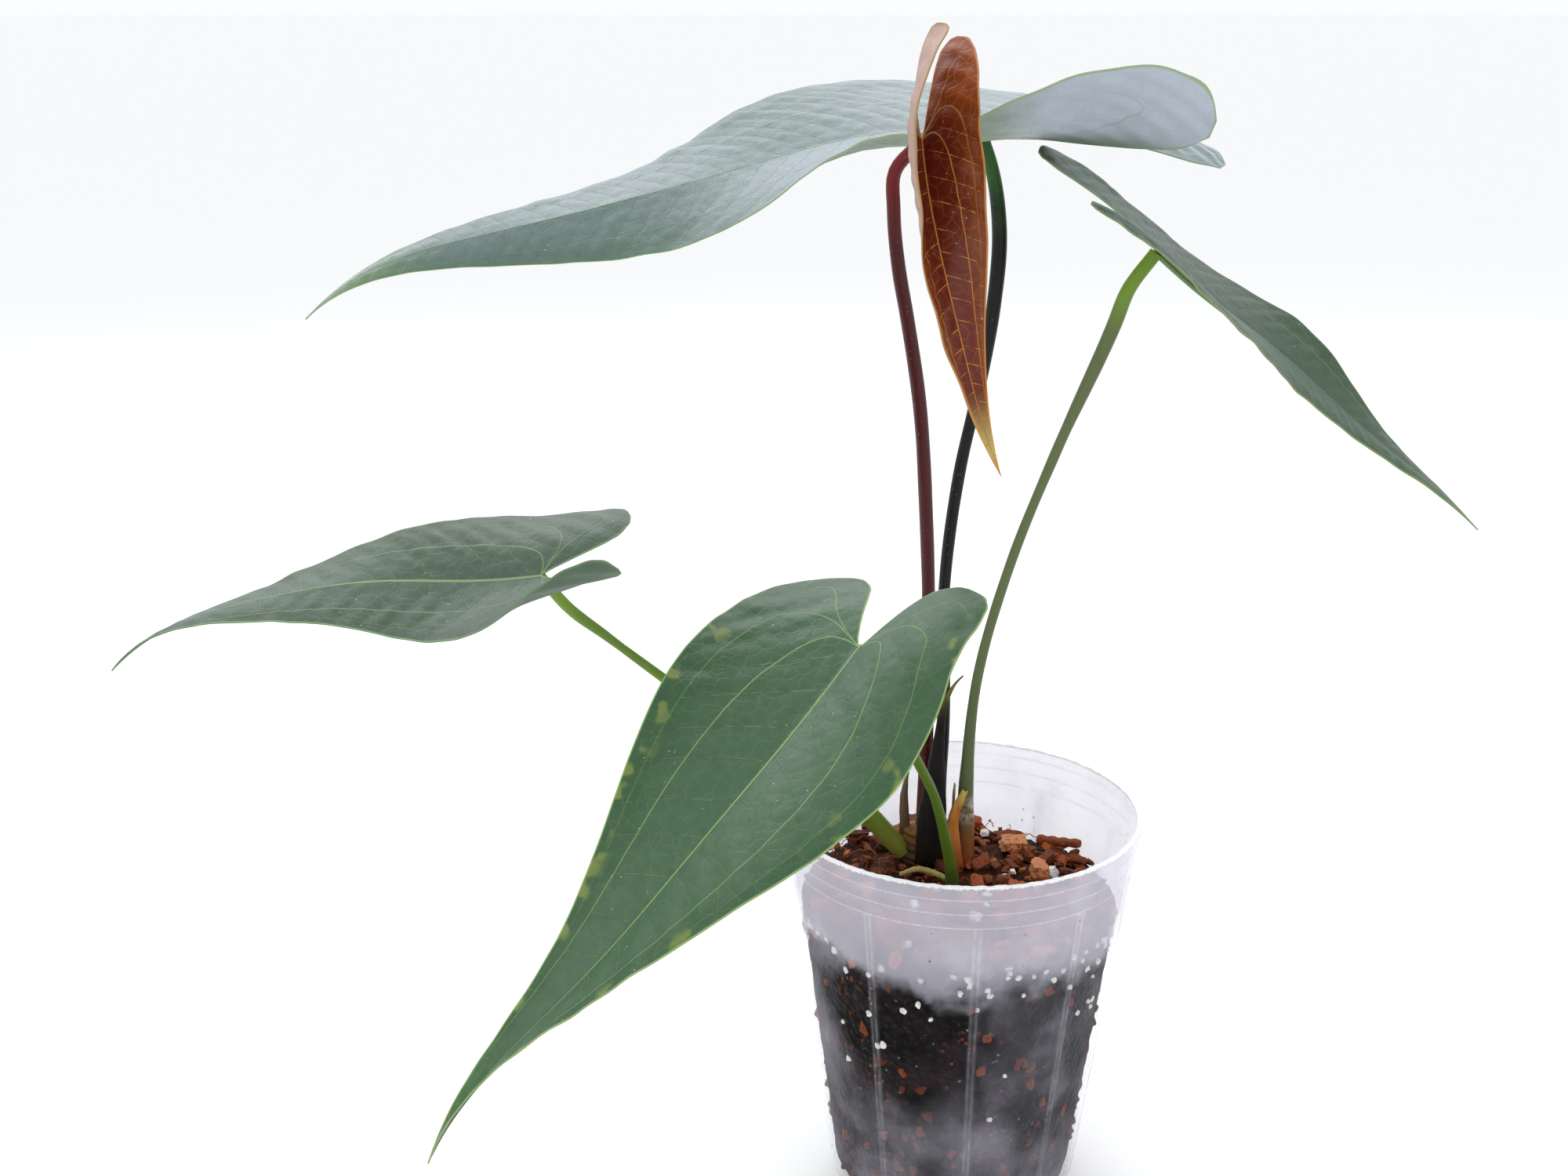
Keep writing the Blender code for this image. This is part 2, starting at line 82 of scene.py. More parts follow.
# Leaves: the same flat outline and bends as the frame's blades
STATIONS = (-0.3, 0.0, 0.25, 0.5, 0.8, 1.0)
SINUS_EDGE = ((0, 0), (-0.03, 0.010), (-0.08, 0.022), (-0.14, 0.036), (-0.2, 0.05), (-0.26, 0.066),
              (-0.31, 0.088), (-0.335, 0.115))
MARGIN = ((-0.335, 0.14), (-0.315, 0.172), (-0.27, 0.198), (-0.18, 0.216), (-0.05, 0.222), (0.08, 0.212),
          (0.2, 0.188), (0.35, 0.146), (0.5, 0.102), (0.65, 0.064), (0.8, 0.033), (0.92, 0.013), (1, 0))
BELLY_CENTRE = 0.35
BELLY_SPREAD = 0.25
MARGIN_REFERENCE = 0.22
LEAVES = {
    "front": dict(attach=(-37, -61, 220), length=195, width=0.99, lobe=0.41, belly=0.15,
                  heading=(-149, -130, -128, -143, -166, -182), slope=(-25, -30, -25, -38, -44, -67),
                  rise_right=(-34, 4, 26, 36, 32, 32), curl_right=(1, 11, 14, 13, 7, 2),
                  rise_left=(6, 29, 6, -1, 16, 30), curl_left=(-28, -23, -25, -18, -7, 3)),
    "side": dict(attach=(-132, -39, 235), length=135, width=1.07, lobe=0.6, belly=0.01,
                 heading=(175, 181, 187, 188, 183, 181), slope=(-10, -7, 3, -8, -21, -50),
                 rise_right=(50, 44, 36, 14, -10, -25), curl_right=(-56, -45, -21, -7, 1, 7),
                 rise_left=(-11, -22, -33, -25, -7, 15), curl_left=(93, 55, 15, -5, -14, -19)),
    "top": dict(attach=(1, 13, 362), length=221, width=1.02, lobe=0.92, belly=0.06,
                heading=(155, 170, 189, 186, 179, 164), slope=(25, 2, -14, -14, -17, -44),
                rise_right=(13, 15, 23, 15, 22, 15), curl_right=(-11, -10, -7, -11, -9, -10),
                rise_left=(28, -15, -13, -41, -44, -25), curl_left=(68, 42, 33, 14, -2, -14)),
    "new": dict(attach=(-21, -49, 364), length=98, width=0.89, lobe=0.96, belly=0.09,
                heading=(-92, -86, -72, -62, -61, -58), slope=(-41, -51, -58, -62, -60, -50),
                rise_right=(92, 41, 21, 4, -11, -15), curl_right=(78, 87, 93, 85, 69, 49),
                rise_left=(25, 35, 41, 35, 28, 21), curl_left=(11, 17, 19, 15, 10, 5)),
    "right": dict(attach=(53, -10, 328), length=134, width=1.02, lobe=0.89, belly=0.09,
                  heading=(29, 17, 3, -12, -14, -16), slope=(-21, -40, -36, -41, -37, -45),
                  rise_right=(-9, -4, -4, -11, -14, -3), curl_right=(-18, -14, -7, -7, -10, -11),
                  rise_left=(27, 26, 26, 36, 13, -1), curl_left=(2, -8, -14, -5, -5, -6)),
}

# Main side veins of each half as (along, share of the half width) from the stalk to the margin
ARCS = (
    ((0, 0), (-0.01, 0.12), (0.0, 0.25), (0.05, 0.38), (0.13, 0.46), (0.27, 0.52), (0.45, 0.60), (0.65, 0.70),
     (0.85, 0.85), (0.97, 1.0)),
    ((0, 0), (-0.035, 0.14), (-0.075, 0.32), (-0.07, 0.52), (0.0, 0.70), (0.1, 0.78), (0.25, 0.82), (0.45, 0.85),
     (0.7, 0.88), (0.93, 1.0)),
    ((0, 0), (-0.06, 0.20), (-0.13, 0.38), (-0.21, 0.56), (-0.24, 0.72), (-0.18, 0.86), (-0.1, 1.0)),
)

# How each blade's surface is worked: pitch of the side veins, quilting and margin waves, in mm, and vein strengths
RELIEF = {
    "front": dict(pitch=17, quilt=0.35, wave=0.45, wave_pitch=8.5, midrib=1.0, sheen=0.12),
    "side": dict(pitch=11, quilt=0.35, wave=0.25, wave_pitch=7, midrib=0.8, sheen=0.2),
    "top": dict(pitch=10, quilt=0.55, wave=0.35, wave_pitch=8, midrib=0.7, sheen=1.0),
    "new": dict(pitch=8.2, quilt=0.4, wave=0.45, wave_pitch=10, midrib=0.8, sheen=0.0),
    "right": dict(pitch=8, quilt=0.45, wave=0.3, wave_pitch=7, midrib=0.9, sheen=0.15),
}

# Each stalk: points in mm from base to leaf, radii in mm spread along it
STALKS = {
    "new": (((-11, 15, 118), (-11, 15, 130), (-11, 13, 171), (-12, 5, 214), (-14, -4, 243), (-18, -18, 284),
             (-23, -29, 312), (-26, -35, 327), (-28, -41, 344), (-28, -44, 355)),
            (3.0, 2.4, 2.25, 2.2, 2.2, 2.15, 2.1, 2.0, 1.9)),
    "top": (((-6, 19, 118), (-6, 19, 130), (-5, 17, 171), (-6, 16, 213), (-2, 15, 254), (4, 15, 285),
             (7, 14, 307), (8, 14, 332), (5, 13, 350)),
            (3.0, 2.4, 2.1, 2.0, 2.0, 2.0, 2.3, 2.4, 2.0)),
    "right": (((3, 14, 113), (3, 14, 118), (3, 13, 146), (5, 9, 183), (14, 4, 225), (27, -1, 265), (42, -7, 306),
               (45, -9, 316)),
              (3.6, 3.1, 2.1, 1.75, 1.7, 1.65, 1.6, 1.6, 1.7, 2.2, 2.3, 2.1)),
    "front": (((-3, -10, 113), (-3, -10, 116.5), (-7, -19, 141), (-11, -26, 157), (-17, -34, 172),
               (-27, -46, 195), (-33, -54, 209)),
              (2.4, 2.1, 1.7, 1.6, 1.55, 1.5, 1.5, 1.8, 1.7)),
    "side": (((-18, 14.5, 119), (-22, 13.5, 123.5), (-31, 10, 135), (-59, -3, 158), (-97, -20, 195),
              (-114, -28, 212), (-125, -35, 224)),
             (3.6, 3.4, 2.1, 1.5, 1.4, 1.4, 1.6, 1.35, 1.8, 1.7)),
}

# Sheaths: points in mm and half widths in mm along them; how far round each wraps, in degrees, is given where it is
# made
SHEATHS = {
    "dark": (((-9, 8.5, 117), (-9, 8.2, 129.5), (-8.5, 8, 140), (-8, 7.2, 152), (-7, 6.5, 166), (-5.5, 5.5, 177),
              (-2.5, 4.5, 184), (0, 4, 187)), (5.4, 5.0, 4.6, 3.6, 2.3, 1.6, 1.0, 0.25)),
    "olive": (((-17.5, 17, 119), (-17.5, 17, 129.5), (-17.8, 16.5, 140), (-16.5, 16, 149)), (2.2, 1.7, 1.4, 0.2)),
    "amber": (((-1, 9, 114), (-1.4, 8.6, 124), (-1.8, 8.3, 131), (-0.8, 7.7, 137), (2, 7, 144.5)),
              (3.6, 2.8, 2.1, 1.7, 1.0)),
    "bud": (((-1.6, 13.2, 118), (-1.4, 12.8, 132), (-1, 12.5, 145)), (1.1, 0.8, 0.2)),
}
AERIAL_ROOT = (((-20, -1, 117.3), (-13.5, 1, 118.3), (-8, -0.5, 117.4), (-3, -3, 116)), (0.7, 1.0, 1.1, 0.9))
TWIG = (((31, 31, 115), (38, 26, 116.5), (44, 21.5, 118)), (1.9, 1.7, 1.5))


def paint_setting(name, description, default):
    return FloatVectorProperty(name=name, description=description, default=default, subtype="COLOR", min=0, max=1)


class LeafPaint(bpy.types.PropertyGroup):
    """Colours of the five blades."""

    front_blade: paint_setting("Front blade", "Middle of the front blade", (0.050, 0.118, 0.056))
    front_edge: paint_setting("Front edge", "Outer zone of the front blade", (0.026, 0.088, 0.030))
    front_vein: paint_setting("Front veins", "Veins of the front blade", (0.27, 0.45, 0.12))
    side_blade: paint_setting("Side blade", "Middle of the side blade", (0.060, 0.105, 0.066))
    side_edge: paint_setting("Side edge", "Outer zone of the side blade", (0.052, 0.092, 0.056))
    side_vein: paint_setting("Side veins", "Veins of the side blade", (0.22, 0.36, 0.14))
    # The top blade's pale bluish grey is partly a painted sheen laid over its own green; the shader's sheen adds more
    # at grazing angles.
    top_blade: paint_setting("Top blade", "Middle of the top blade", (0.105, 0.160, 0.145))
    top_edge: paint_setting("Top edge", "Outer zone of the top blade", (0.080, 0.140, 0.105))
    top_vein: paint_setting("Top veins", "Veins of the top blade", (0.035, 0.13, 0.03))
    new_blade: paint_setting("New blade", "Middle of the young blade", (0.120, 0.012, 0.004))
    new_edge: paint_setting("New edge", "Outer zone of the young blade", (0.17, 0.035, 0.004))
    new_vein: paint_setting("New veins", "Veins of the young blade", (0.62, 0.24, 0.04))
    right_blade: paint_setting("Right blade", "Middle of the right blade", (0.050, 0.095, 0.052))
    right_edge: paint_setting("Right edge", "Outer zone of the right blade", (0.026, 0.070, 0.024))
    right_vein: paint_setting("Right veins", "Veins of the right blade", (0.16, 0.27, 0.10))
    thickness: FloatProperty(name="Blade thickness", description="Thickness of every blade", default=0.4 * MM,
                             min=0.1 * MM, max=1 * MM, subtype="DISTANCE", unit="LENGTH")


class StalkPaint(bpy.types.PropertyGroup):
    """Colours of the stalks, crown and sheaths."""

    new: paint_setting("New stalk", "Stalk of the young leaf", (0.060, 0.002, 0.002))
    top: paint_setting("Top stalk", "Stalk of the top leaf", (0.001, 0.002, 0.001))
    right: paint_setting("Right stalk", "Stalk of the right leaf", (0.12, 0.155, 0.06))
    front: paint_setting("Front stalk", "Stalk of the front leaf", (0.085, 0.155, 0.012))
    side: paint_setting("Side stalk", "Stalk of the side leaf", (0.13, 0.23, 0.025))
    joint: paint_setting("Stalk joints", "Swollen joint under each green blade", (0.17, 0.30, 0.025))
    sheath: paint_setting("Old sheath", "Dry sheath round the crown", (0.005, 0.003, 0.002))
    amber: paint_setting("Amber sheath", "Young sheath at the crown", (0.55, 0.20, 0.035))


class PotPaint(bpy.types.PropertyGroup):
    """The nursery pot."""

    plastic: paint_setting("Plastic", "Milky plastic of the wall", (0.80, 0.77, 0.90))
    # Strength of a painted glow: above the mix the wall is made paler and more opaque, standing in for light scattered
    # in the plastic where air lies behind it.
    painted_glow: FloatProperty(name="Haze", description="How much the wall hides where air lies behind it", default=0.30,
                        min=0, max=1, subtype="FACTOR")
    ribs: IntProperty(name="Ribs", description="Upright ribs round the wall", default=10, min=0, max=36)
    rib_height: FloatProperty(name="Rib height", description="How far a rib stands out", default=0.3 * MM, min=0,
                              max=1 * MM, subtype="DISTANCE", unit="LENGTH")


class MixPaint(bpy.types.PropertyGroup):
    """The bark mix."""

    bark: paint_setting("Bark", "Outside of the bark chips", (0.235, 0.052, 0.012))
    heartwood: paint_setting("Heartwood", "Broken faces of the bark chips", (0.62, 0.30, 0.13))
    soil: paint_setting("Soil", "Wet fine mix", (0.003, 0.002, 0.002))
    perlite: paint_setting("Perlite", "White grains", (0.86, 0.84, 0.80))
    chips: IntProperty(name="Chips", description="Small bark chips on the mix", default=420, min=0, max=2000)
    fibres: IntProperty(name="Fibres", description="Coir fibres on the mix", default=130, min=0, max=1000)
    grains: IntProperty(name="Grains", description="Perlite grains behind the wall", default=150, min=0, max=1000)


class StageLook(bpy.types.PropertyGroup):
    """Floor and lamps."""

    floor: paint_setting("Floor", "Colour of the floor", (0.97, 0.97, 0.97))
    sky: FloatProperty(name="Room light", description="Strength of the even light", default=1.0, min=0, max=5)
    key: FloatProperty(name="Top lamp", description="Power of the large lamp above", default=8.0, min=0,
                       max=1000, unit="POWER")
    front: FloatProperty(name="Front lamp", description="Power of the large lamp in front", default=2.5, min=0,
                         max=1000, unit="POWER")


class Value:
    """A node socket that takes part in sums: each expression on it adds the Math nodes it needs."""

    def __init__(self, paint, socket):
        self.paint = paint
        self.socket = socket

    def math(self, operation, *terms):
        return self.paint.node("Math", {"operation": operation}, dict(enumerate(terms)))

    def __add__(self, other):
        return self.math("ADD", self, other)

    def __sub__(self, other):
        return self.math("SUBTRACT", self, other)

    def __rsub__(self, other):
        return self.math("SUBTRACT", other, self)

    def __mul__(self, other):
        return self.math("MULTIPLY", self, other)

    def __truediv__(self, other):
        return self.math("DIVIDE", self, other)

    def __abs__(self):
        return self.math("ABSOLUTE", self)

    __radd__ = __add__
    __rmul__ = __mul__


class Paint:
    """One procedural material."""

    def __init__(self, name, **constants):
        self.material = bpy.data.materials.new(name)
        self.material.use_nodes = True
        self.tree = self.material.node_tree
        self.shader = self.tree.nodes["Principled BSDF"]
        for socket, value in constants.items():
            self.shader.inputs[socket.replace("_", " ").title().replace("Ior", "IOR")].default_value = value

    def node(self, kind, settings, inputs, output=0):
        """Adds a node, sets its settings first, then fills its sockets with numbers, colours or links."""
        made = self.tree.nodes.new("ShaderNode" + kind)
        for key, value in settings.items():
            if key == "stops":
                for _ in value[2:]:
                    made.color_ramp.elements.new(1)
                for element, (place, colour) in zip(made.color_ramp.elements, value):
                    element.position = place
                    element.color = (*colour, 1)
            else:
                setattr(made, key, value)
        for key, value in inputs.items():
            if isinstance(value, Value):
                self.tree.links.new(value.socket, made.inputs[key])
            else:
                made.inputs[key].default_value = value
        return Value(self, made.outputs[output])

    def number(self, name):
        return self.node("Attribute", {"attribute_name": name}, {}, "Fac")

    def place(self, name):
        return self.node("Attribute", {"attribute_name": name}, {}, "Vector")

    def part_of(self, vector, axis):
        return self.node("SeparateXYZ", {}, {0: vector}, axis)

    def here(self):
        """The point on the surface, in metres."""
        return self.node("TexCoord", {}, {}, "Object")

    def stretched(self, vector, scale):
        return self.node("Mapping", {}, {"Vector": vector, "Scale": scale})

    def noise(self, vector, scale, detail=3, roughness=0.55):
        return self.node("TexNoise", {}, {"Vector": vector, "Scale": scale, "Detail": detail, "Roughness": roughness})

    def cells(self, vector, scale, feature="F1", output="Distance"):
        return self.node("TexVoronoi", {"feature": feature}, {"Vector": vector, "Scale": scale}, output)

    def ease(self, value, low, high):
        """0 below low, 1 above high, or the reverse where low is the larger."""
        return self.node("MapRange", {"interpolation_type": "SMOOTHSTEP"},
                         {"Value": value, "From Min": low, "From Max": high})

    def blend(self, factor, first, second):
        return self.node("Mix", {"data_type": "RGBA"}, {0: factor, 6: rgba(first), 7: rgba(second)}, 2)

    def ramp(self, value, *stops):
        return self.node("ValToRGB", {"stops": stops}, {0: value})

    def finish(self, colour=None, roughness=None, height=None, depth=0.3 * MM, alpha=None):
        """Links what varies over the surface and returns the material. depth is the height's full size."""
        for socket, value in (("Base Color", colour), ("Roughness", roughness), ("Alpha", alpha)):
            if value is not None:
                self.tree.links.new(value.socket, self.shader.inputs[socket])
        if height is not None:
            bump = self.node("Bump", {}, {"Height": height, "Distance": depth})
            self.tree.links.new(bump.socket, self.shader.inputs["Normal"])
        return self.material


def rgba(colour):
    return colour if isinstance(colour, Value) else (*tuple(colour)[:3], 1)


def lightened(colour, factor):
    return tuple(min(1, channel * factor) for channel in tuple(colour)[:3])


class Pile:
    """Shapes gathered into one mesh, with a material slot per face and named numbers per vertex."""

    def __init__(self):
        self.points = []
        self.faces = []
        self.slots = []
        self.values = {}
        self.size = 0

    def add(self, points, faces, slot=0, **values):
        count = len(points)
        self.points.append(np.asarray(points, float))
        self.faces += [[self.size + i for i in face] for face in faces]
        self.slots += [slot] * len(faces)
        for name in set(self.values) | set(values):
            kept = self.values.setdefault(name, [])
            given = np.asarray(values.get(name, 0), float)
            width = given.shape[1] if given.ndim == 2 else (kept[0].shape[1] if kept and kept[0].ndim == 2 else 0)
            while sum(len(k) for k in kept) < self.size:
                kept.append(np.zeros((self.size - sum(len(k) for k in kept), width) if width else self.size))
            kept.append(np.broadcast_to(given, (count, width) if width else count))
        self.size += count

    def build(self, name, materials, replaces, weld=False, sharp_degrees=40):
        """Makes the piece, rides it on the body and hides the frame nodes it stands for."""
        mesh = bpy.data.meshes.new(name)
        mesh.from_pydata(np.concatenate(self.points).tolist(), [], self.faces)
        for label, chunks in self.values.items():
            data = np.concatenate(chunks)
            kind = "FLOAT_VECTOR" if data.ndim == 2 else "FLOAT"
            made = mesh.attributes.new(label, kind, "POINT")
            made.data.foreach_set("vector" if data.ndim == 2 else "value", data.astype(np.float32).ravel())
        for material in materials:
            mesh.materials.append(material)
        mesh.polygons.foreach_set("material_index", self.slots)
        if weld:
            bm = bmesh.new()
            bm.from_mesh(mesh)
            bmesh.ops.remove_doubles(bm, verts=bm.verts, dist=0.002 * MM)
            bm.to_mesh(mesh)
            bm.free()
        mesh.shade_smooth()
        mesh.set_sharp_from_angle(angle=math.radians(sharp_degrees))
        piece = bpy.data.objects.new(name, mesh)
        bpy.context.scene.collection.objects.link(piece)
        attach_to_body(piece, BODY)
        if replaces:
            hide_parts(*replaces)
        return piece


def smooth_values(stations, values, places):
    """Values between stations on one smooth curve, with the slope at each station taken from its neighbours."""
    stations = np.asarray(stations, float)
    values = np.asarray(values, float)
    slopes = np.gradient(values, stations, axis=0)
    left = np.clip(np.searchsorted(stations, places) - 1, 0, len(stations) - 2)
    step = stations[left + 1] - stations[left]
    t = np.clip((places - stations[left]) / step, 0, 1)
    if values.ndim == 2:
        t = t[:, None]
        step = step[:, None]
    start = (2 * t**3 - 3 * t**2 + 1) * values[left] + (t**3 - 2 * t**2 + t) * step * slopes[left]
    end = (3 * t**2 - 2 * t**3) * values[left + 1] + (t**3 - t**2) * step * slopes[left + 1]
    return start + end


def smooth_route(points, count):
    """Count points along one smooth curve through the given points, and how far along each one is, from 0 to 1."""
    points = np.asarray(points, float)
    along = np.concatenate([[0], np.cumsum(np.linalg.norm(np.diff(points, axis=0), axis=1))])
    along /= along[-1]
    places = np.linspace(0, 1, count)
    return smooth_values(along, points, places), places


def bar(route, radii, sides, flatness=1.0, turn=(0, 2 * math.pi)):
    """Points and faces of a bar along a route, with how far along and round each point is. A turn short of a full
    circle leaves an open channel."""
    route = np.asarray(route, float)
    forward = np.gradient(route, axis=0)
    forward /= np.linalg.norm(forward, axis=1)[:, None]
    side = np.array([1.0, 0, 0])
    closed = turn[1] - turn[0] > 6.28
    angles = np.linspace(*turn, sides + 1)[:sides if closed else None]
    rings = []
    for point, ahead, radius in zip(route, forward, radii):
        side = side - ahead * side.dot(ahead)
        side /= np.linalg.norm(side)
        depth = np.cross(ahead, side)
        rings.append(point + radius * (np.cos(angles)[:, None] * side + flatness * np.sin(angles)[:, None] * depth))
    width = len(angles)
    faces = [(r * width + k, r * width + (k + 1) % width, (r + 1) * width + (k + 1) % width, (r + 1) * width + k)
             for r in range(len(route) - 1) for k in range(width if closed else width - 1)]
    points = np.concatenate(rings)
    along = np.repeat(np.linspace(0, 1, len(route)), width)
    around = np.tile(angles, len(route))
    if closed:
        faces += [tuple(range(width))[::-1], tuple(len(points) - width + k for k in range(width))]
    return points, faces, along, around


# Leaves


def leaf_frames(leaf, places):
    """Midrib points, the direction to its right, and its upward normal at places along it, in leaf lengths."""
    fine = np.linspace(STATIONS[0] - 0.06, 1, 281)
    heading = np.radians(smooth_values(STATIONS, leaf["heading"], fine))
    slope = np.radians(smooth_values(STATIONS, leaf["slope"], fine))
    forward = np.stack([np.cos(slope) * np.cos(heading), np.cos(slope) * np.sin(heading), np.sin(slope)], 1)
    right = np.stack([np.sin(heading), -np.cos(heading), np.zeros_like(heading)], 1)
    up = np.cross(right, forward)
    walk = np.cumsum((forward[1:] + forward[:-1]) / 2 * (fine[1] - fine[0]), axis=0)
    walk = np.concatenate([np.zeros((1, 3)), walk])

    def at(values):
        return np.stack([np.interp(places, fine, values[:, k]) for k in range(3)], 1)

    start = np.array([np.interp(0, fine, walk[:, k]) for k in range(3)])
    midrib = np.array(leaf["attach"]) * MM + (at(walk) - start) * leaf["length"] * MM
    return midrib, at(right), at(up)


def true_flat(leaf, flat):
    """Flat (along, across) points in leaf lengths, with this leaf's own lobes, width and belly."""
    along = np.where(flat[:, 0] < 0, flat[:, 0] * leaf["lobe"], flat[:, 0])
    belly = 1 + leaf["belly"] * np.exp(-(((flat[:, 0] - BELLY_CENTRE) / BELLY_SPREAD) ** 2))
    return along, flat[:, 1] * leaf["width"] * belly


def bend_half(leaf, flat, side):
    """Places flat points of one half of the blade; side is +1 for the right half, -1 for the left."""
    along, across = true_flat(leaf, flat)
    name = "right" if side > 0 else "left"
    rise = np.radians(smooth_values(STATIONS, leaf["rise_" + name], along))
    curl = np.radians(smooth_values(STATIONS, leaf["curl_" + name], along)) * across / MARGIN_REFERENCE
    reach = across * np.sinc(curl / (2 * np.pi)) * leaf["length"] * MM
    midrib, right, up = leaf_frames(leaf, along)
    angle = (rise + curl / 2)[:, None]
    return midrib + reach[:, None] * (side * right * np.cos(angle) + up * np.sin(angle))


def margin_at(along):
    margin = np.array(MARGIN)
    return smooth_values(margin[:, 0], margin[:, 1], along)


def half_outline(rows):
    """Rows of the flat half blade: (along, inner edge, outer edge), closer together in the lobe and at the tip."""
    sinus = np.array(SINUS_EDGE)[::-1]
    along = sinus[0, 0] + (1 - sinus[0, 0]) * (1 - np.cos(np.linspace(0, 1, rows + 1) ** 0.8 * math.pi / 2)) ** 0.75
    along[np.argmin(abs(along[1:])) + 1] = 0
    inner = np.where(along < 0, smooth_values(sinus[:, 0], sinus[:, 1], np.minimum(along, 0)), 0)
    return along, inner, margin_at(along)


def signed_distance(points, line):
    """Distance from each flat point to a line through the given points, below zero on its right-hand side."""
    start = line[:-1]
    run = np.diff(line, axis=0)
    away = points[:, None] - start[None]
    t = np.clip((away * run).sum(2) / (run**2).sum(1), 0, 1)
    miss = away - t[..., None] * run
    gap = np.linalg.norm(miss, axis=2)
    nearest = gap.argmin(1)
    pick = np.arange(len(points))
    cross = run[nearest, 0] * miss[pick, nearest, 1] - run[nearest, 1] * miss[pick, nearest, 0]
    return np.where(cross < 0, -1, 1) * gap[pick, nearest]


def side_vein_count(leaf, pitch, along_mm, across_mm, seed):
    """A number that grows by one from each side vein to the next. The veins leave the midrib and lean forward."""
    pick = random.Random(seed)
    places = [3.0 - pitch * k for k in range(12, 0, -1)] + [3.0]
    while places[-1] < leaf["length"]:
        share = max(0, places[-1] / leaf["length"])
        places.append(places[-1] + pitch * (1 - 0.45 * share) * pick.uniform(0.8, 1.2))
    foot = along_mm - 0.5 * across_mm - 0.014 * across_mm**2
    return np.interp(foot, places, np.arange(len(places)))


def blade_half(name, side, rows, columns):
    """One half of a blade as grids of points and of the numbers that its finish reads."""
    leaf = LEAVES[name]
    relief = RELIEF[name]
    length = leaf["length"]
    along, inner, outer = half_outline(rows)
    share = np.linspace(0, 1, columns + 1)
    flat = np.stack([np.repeat(along, columns + 1), (inner[:, None] + (outer - inner)[:, None] * share).ravel()], 1)
    points = bend_half(leaf, flat, side).reshape(rows + 1, columns + 1, 3)
    true_along, true_across = true_flat(leaf, flat)
    mm = np.stack([true_along, true_across], 1) * length
    outline = np.concatenate([np.array(SINUS_EDGE), np.array(MARGIN)])
    edge_route, _ = smooth_route(outline, 160)
    edge = abs(signed_distance(mm, np.stack(true_flat(leaf, edge_route), 1) * length))
    arcs = []
    for arc in ARCS:
        route, _ = smooth_route(arc, 60)
        line = np.stack([route[:, 0], route[:, 1] * margin_at(route[:, 0])], 1)
        arcs.append(signed_distance(mm, np.stack(true_flat(leaf, line), 1) * length))
    count = side_vein_count(leaf, relief["pitch"], mm[:, 0], mm[:, 1], len(name) * 10 + side)
    outward = flat[:, 1] / margin_at(flat[:, 0]).clip(1e-4)
    quilted = np.clip(outward * 3, 0, 1) * np.clip(edge / 4, 0, 1)
    height = relief["quilt"] * quilted * (0.5 - 0.5 * np.cos(2 * np.pi * count))
    waved = np.clip((outward - 0.5) / 0.35, 0, 1) ** 2 * np.clip((0.95 - flat[:, 0]) / 0.3, 0, 1)
    scale = 0.9 / relief["wave_pitch"]
    wander = [noise.noise(Vector((x * scale, y * scale * 0.6, side * 3 + len(name)))) for x, y in mm]
    height += relief["wave"] * waved * 2.2 * np.array(wander)
    step_along = np.gradient(points, axis=0)
    step_across = np.gradient(points, axis=1)
    normal = side * np.cross(step_across, step_along)
    size = np.linalg.norm(normal, axis=2, keepdims=True)
    _, _, up = leaf_frames(leaf, true_along)
    up = up.reshape(points.shape)
    normal = np.where(size > 1e-12, normal / np.maximum(size, 1e-12), up)
    normal[along >= 0, 0] = up[along >= 0, 0]
    normal[-1] = up[-1]
    numbers = dict(flat=np.stack([mm[:, 0], side * mm[:, 1], np.zeros(len(mm))], 1), arcs=np.stack(arcs, 1),
                   edge=edge, outward=outward, count=count, along=flat[:, 0])
    return points + normal * height.reshape(rows + 1, columns + 1, 1) * MM, normal, numbers


def add_blade(pile, name, thickness):
    """Both halves of a blade, each a thin closed sheet: slot 0 above, slot 1 below and round the rim."""
    rows, columns = 130, 26
    for side in (1, -1):
        points, normal, numbers = blade_half(name, side, rows, columns)
        width = columns + 1
        index = np.arange((rows + 1) * width).reshape(rows + 1, width)
        quads = np.stack([index[:-1, :-1], index[:-1, 1:], index[1:, 1:], index[1:, :-1]], 2).reshape(-1, 4)
        quads = quads if side > 0 else quads[:, ::-1]
        first = pile.size
        pile.add((points + normal * thickness / 2).reshape(-1, 3), quads.tolist(), 0, **numbers)
        pile.add((points - normal * thickness / 2).reshape(-1, 3), quads[:, ::-1].tolist(), 1, **numbers)
        below = len(index.ravel())
        sinus = [index[r, 0] for r, u in enumerate(numbers["along"].reshape(rows + 1, width)[:, 0]) if u <= 0]
        loop = sinus[::-1] + [i for i in index[0, 1:]] + [index[r, -1] for r in range(1, rows + 1)]
        pile.faces += [[first + a, first + a + below, first + b + below, first + b] if side < 0 else
                       [first + b, first + b + below, first + a + below, first + a] for a, b in zip(loop, loop[1:])]
        pile.slots += [1] * (len(loop) - 1)


def add_midrib(pile, name):
    """The raised midrib: a tapering bar that stands a little above the blade and further below it."""
    leaf = LEAVES[name]
    places = np.linspace(-0.006, 0.985, 90)
    middle, _, up = leaf_frames(leaf, places)
    radii = RELIEF[name]["midrib"] * (0.95 * (1 - places) ** 0.8 + 0.12) * MM
    route = middle - up * (radii * 0.72)[:, None]
    pile.add(*bar(route, radii, 10)[:2], 2, along=np.repeat(places, 10),
             flat=np.stack([np.repeat(places, 10) * leaf["length"], np.zeros(900), np.zeros(900)], 1))


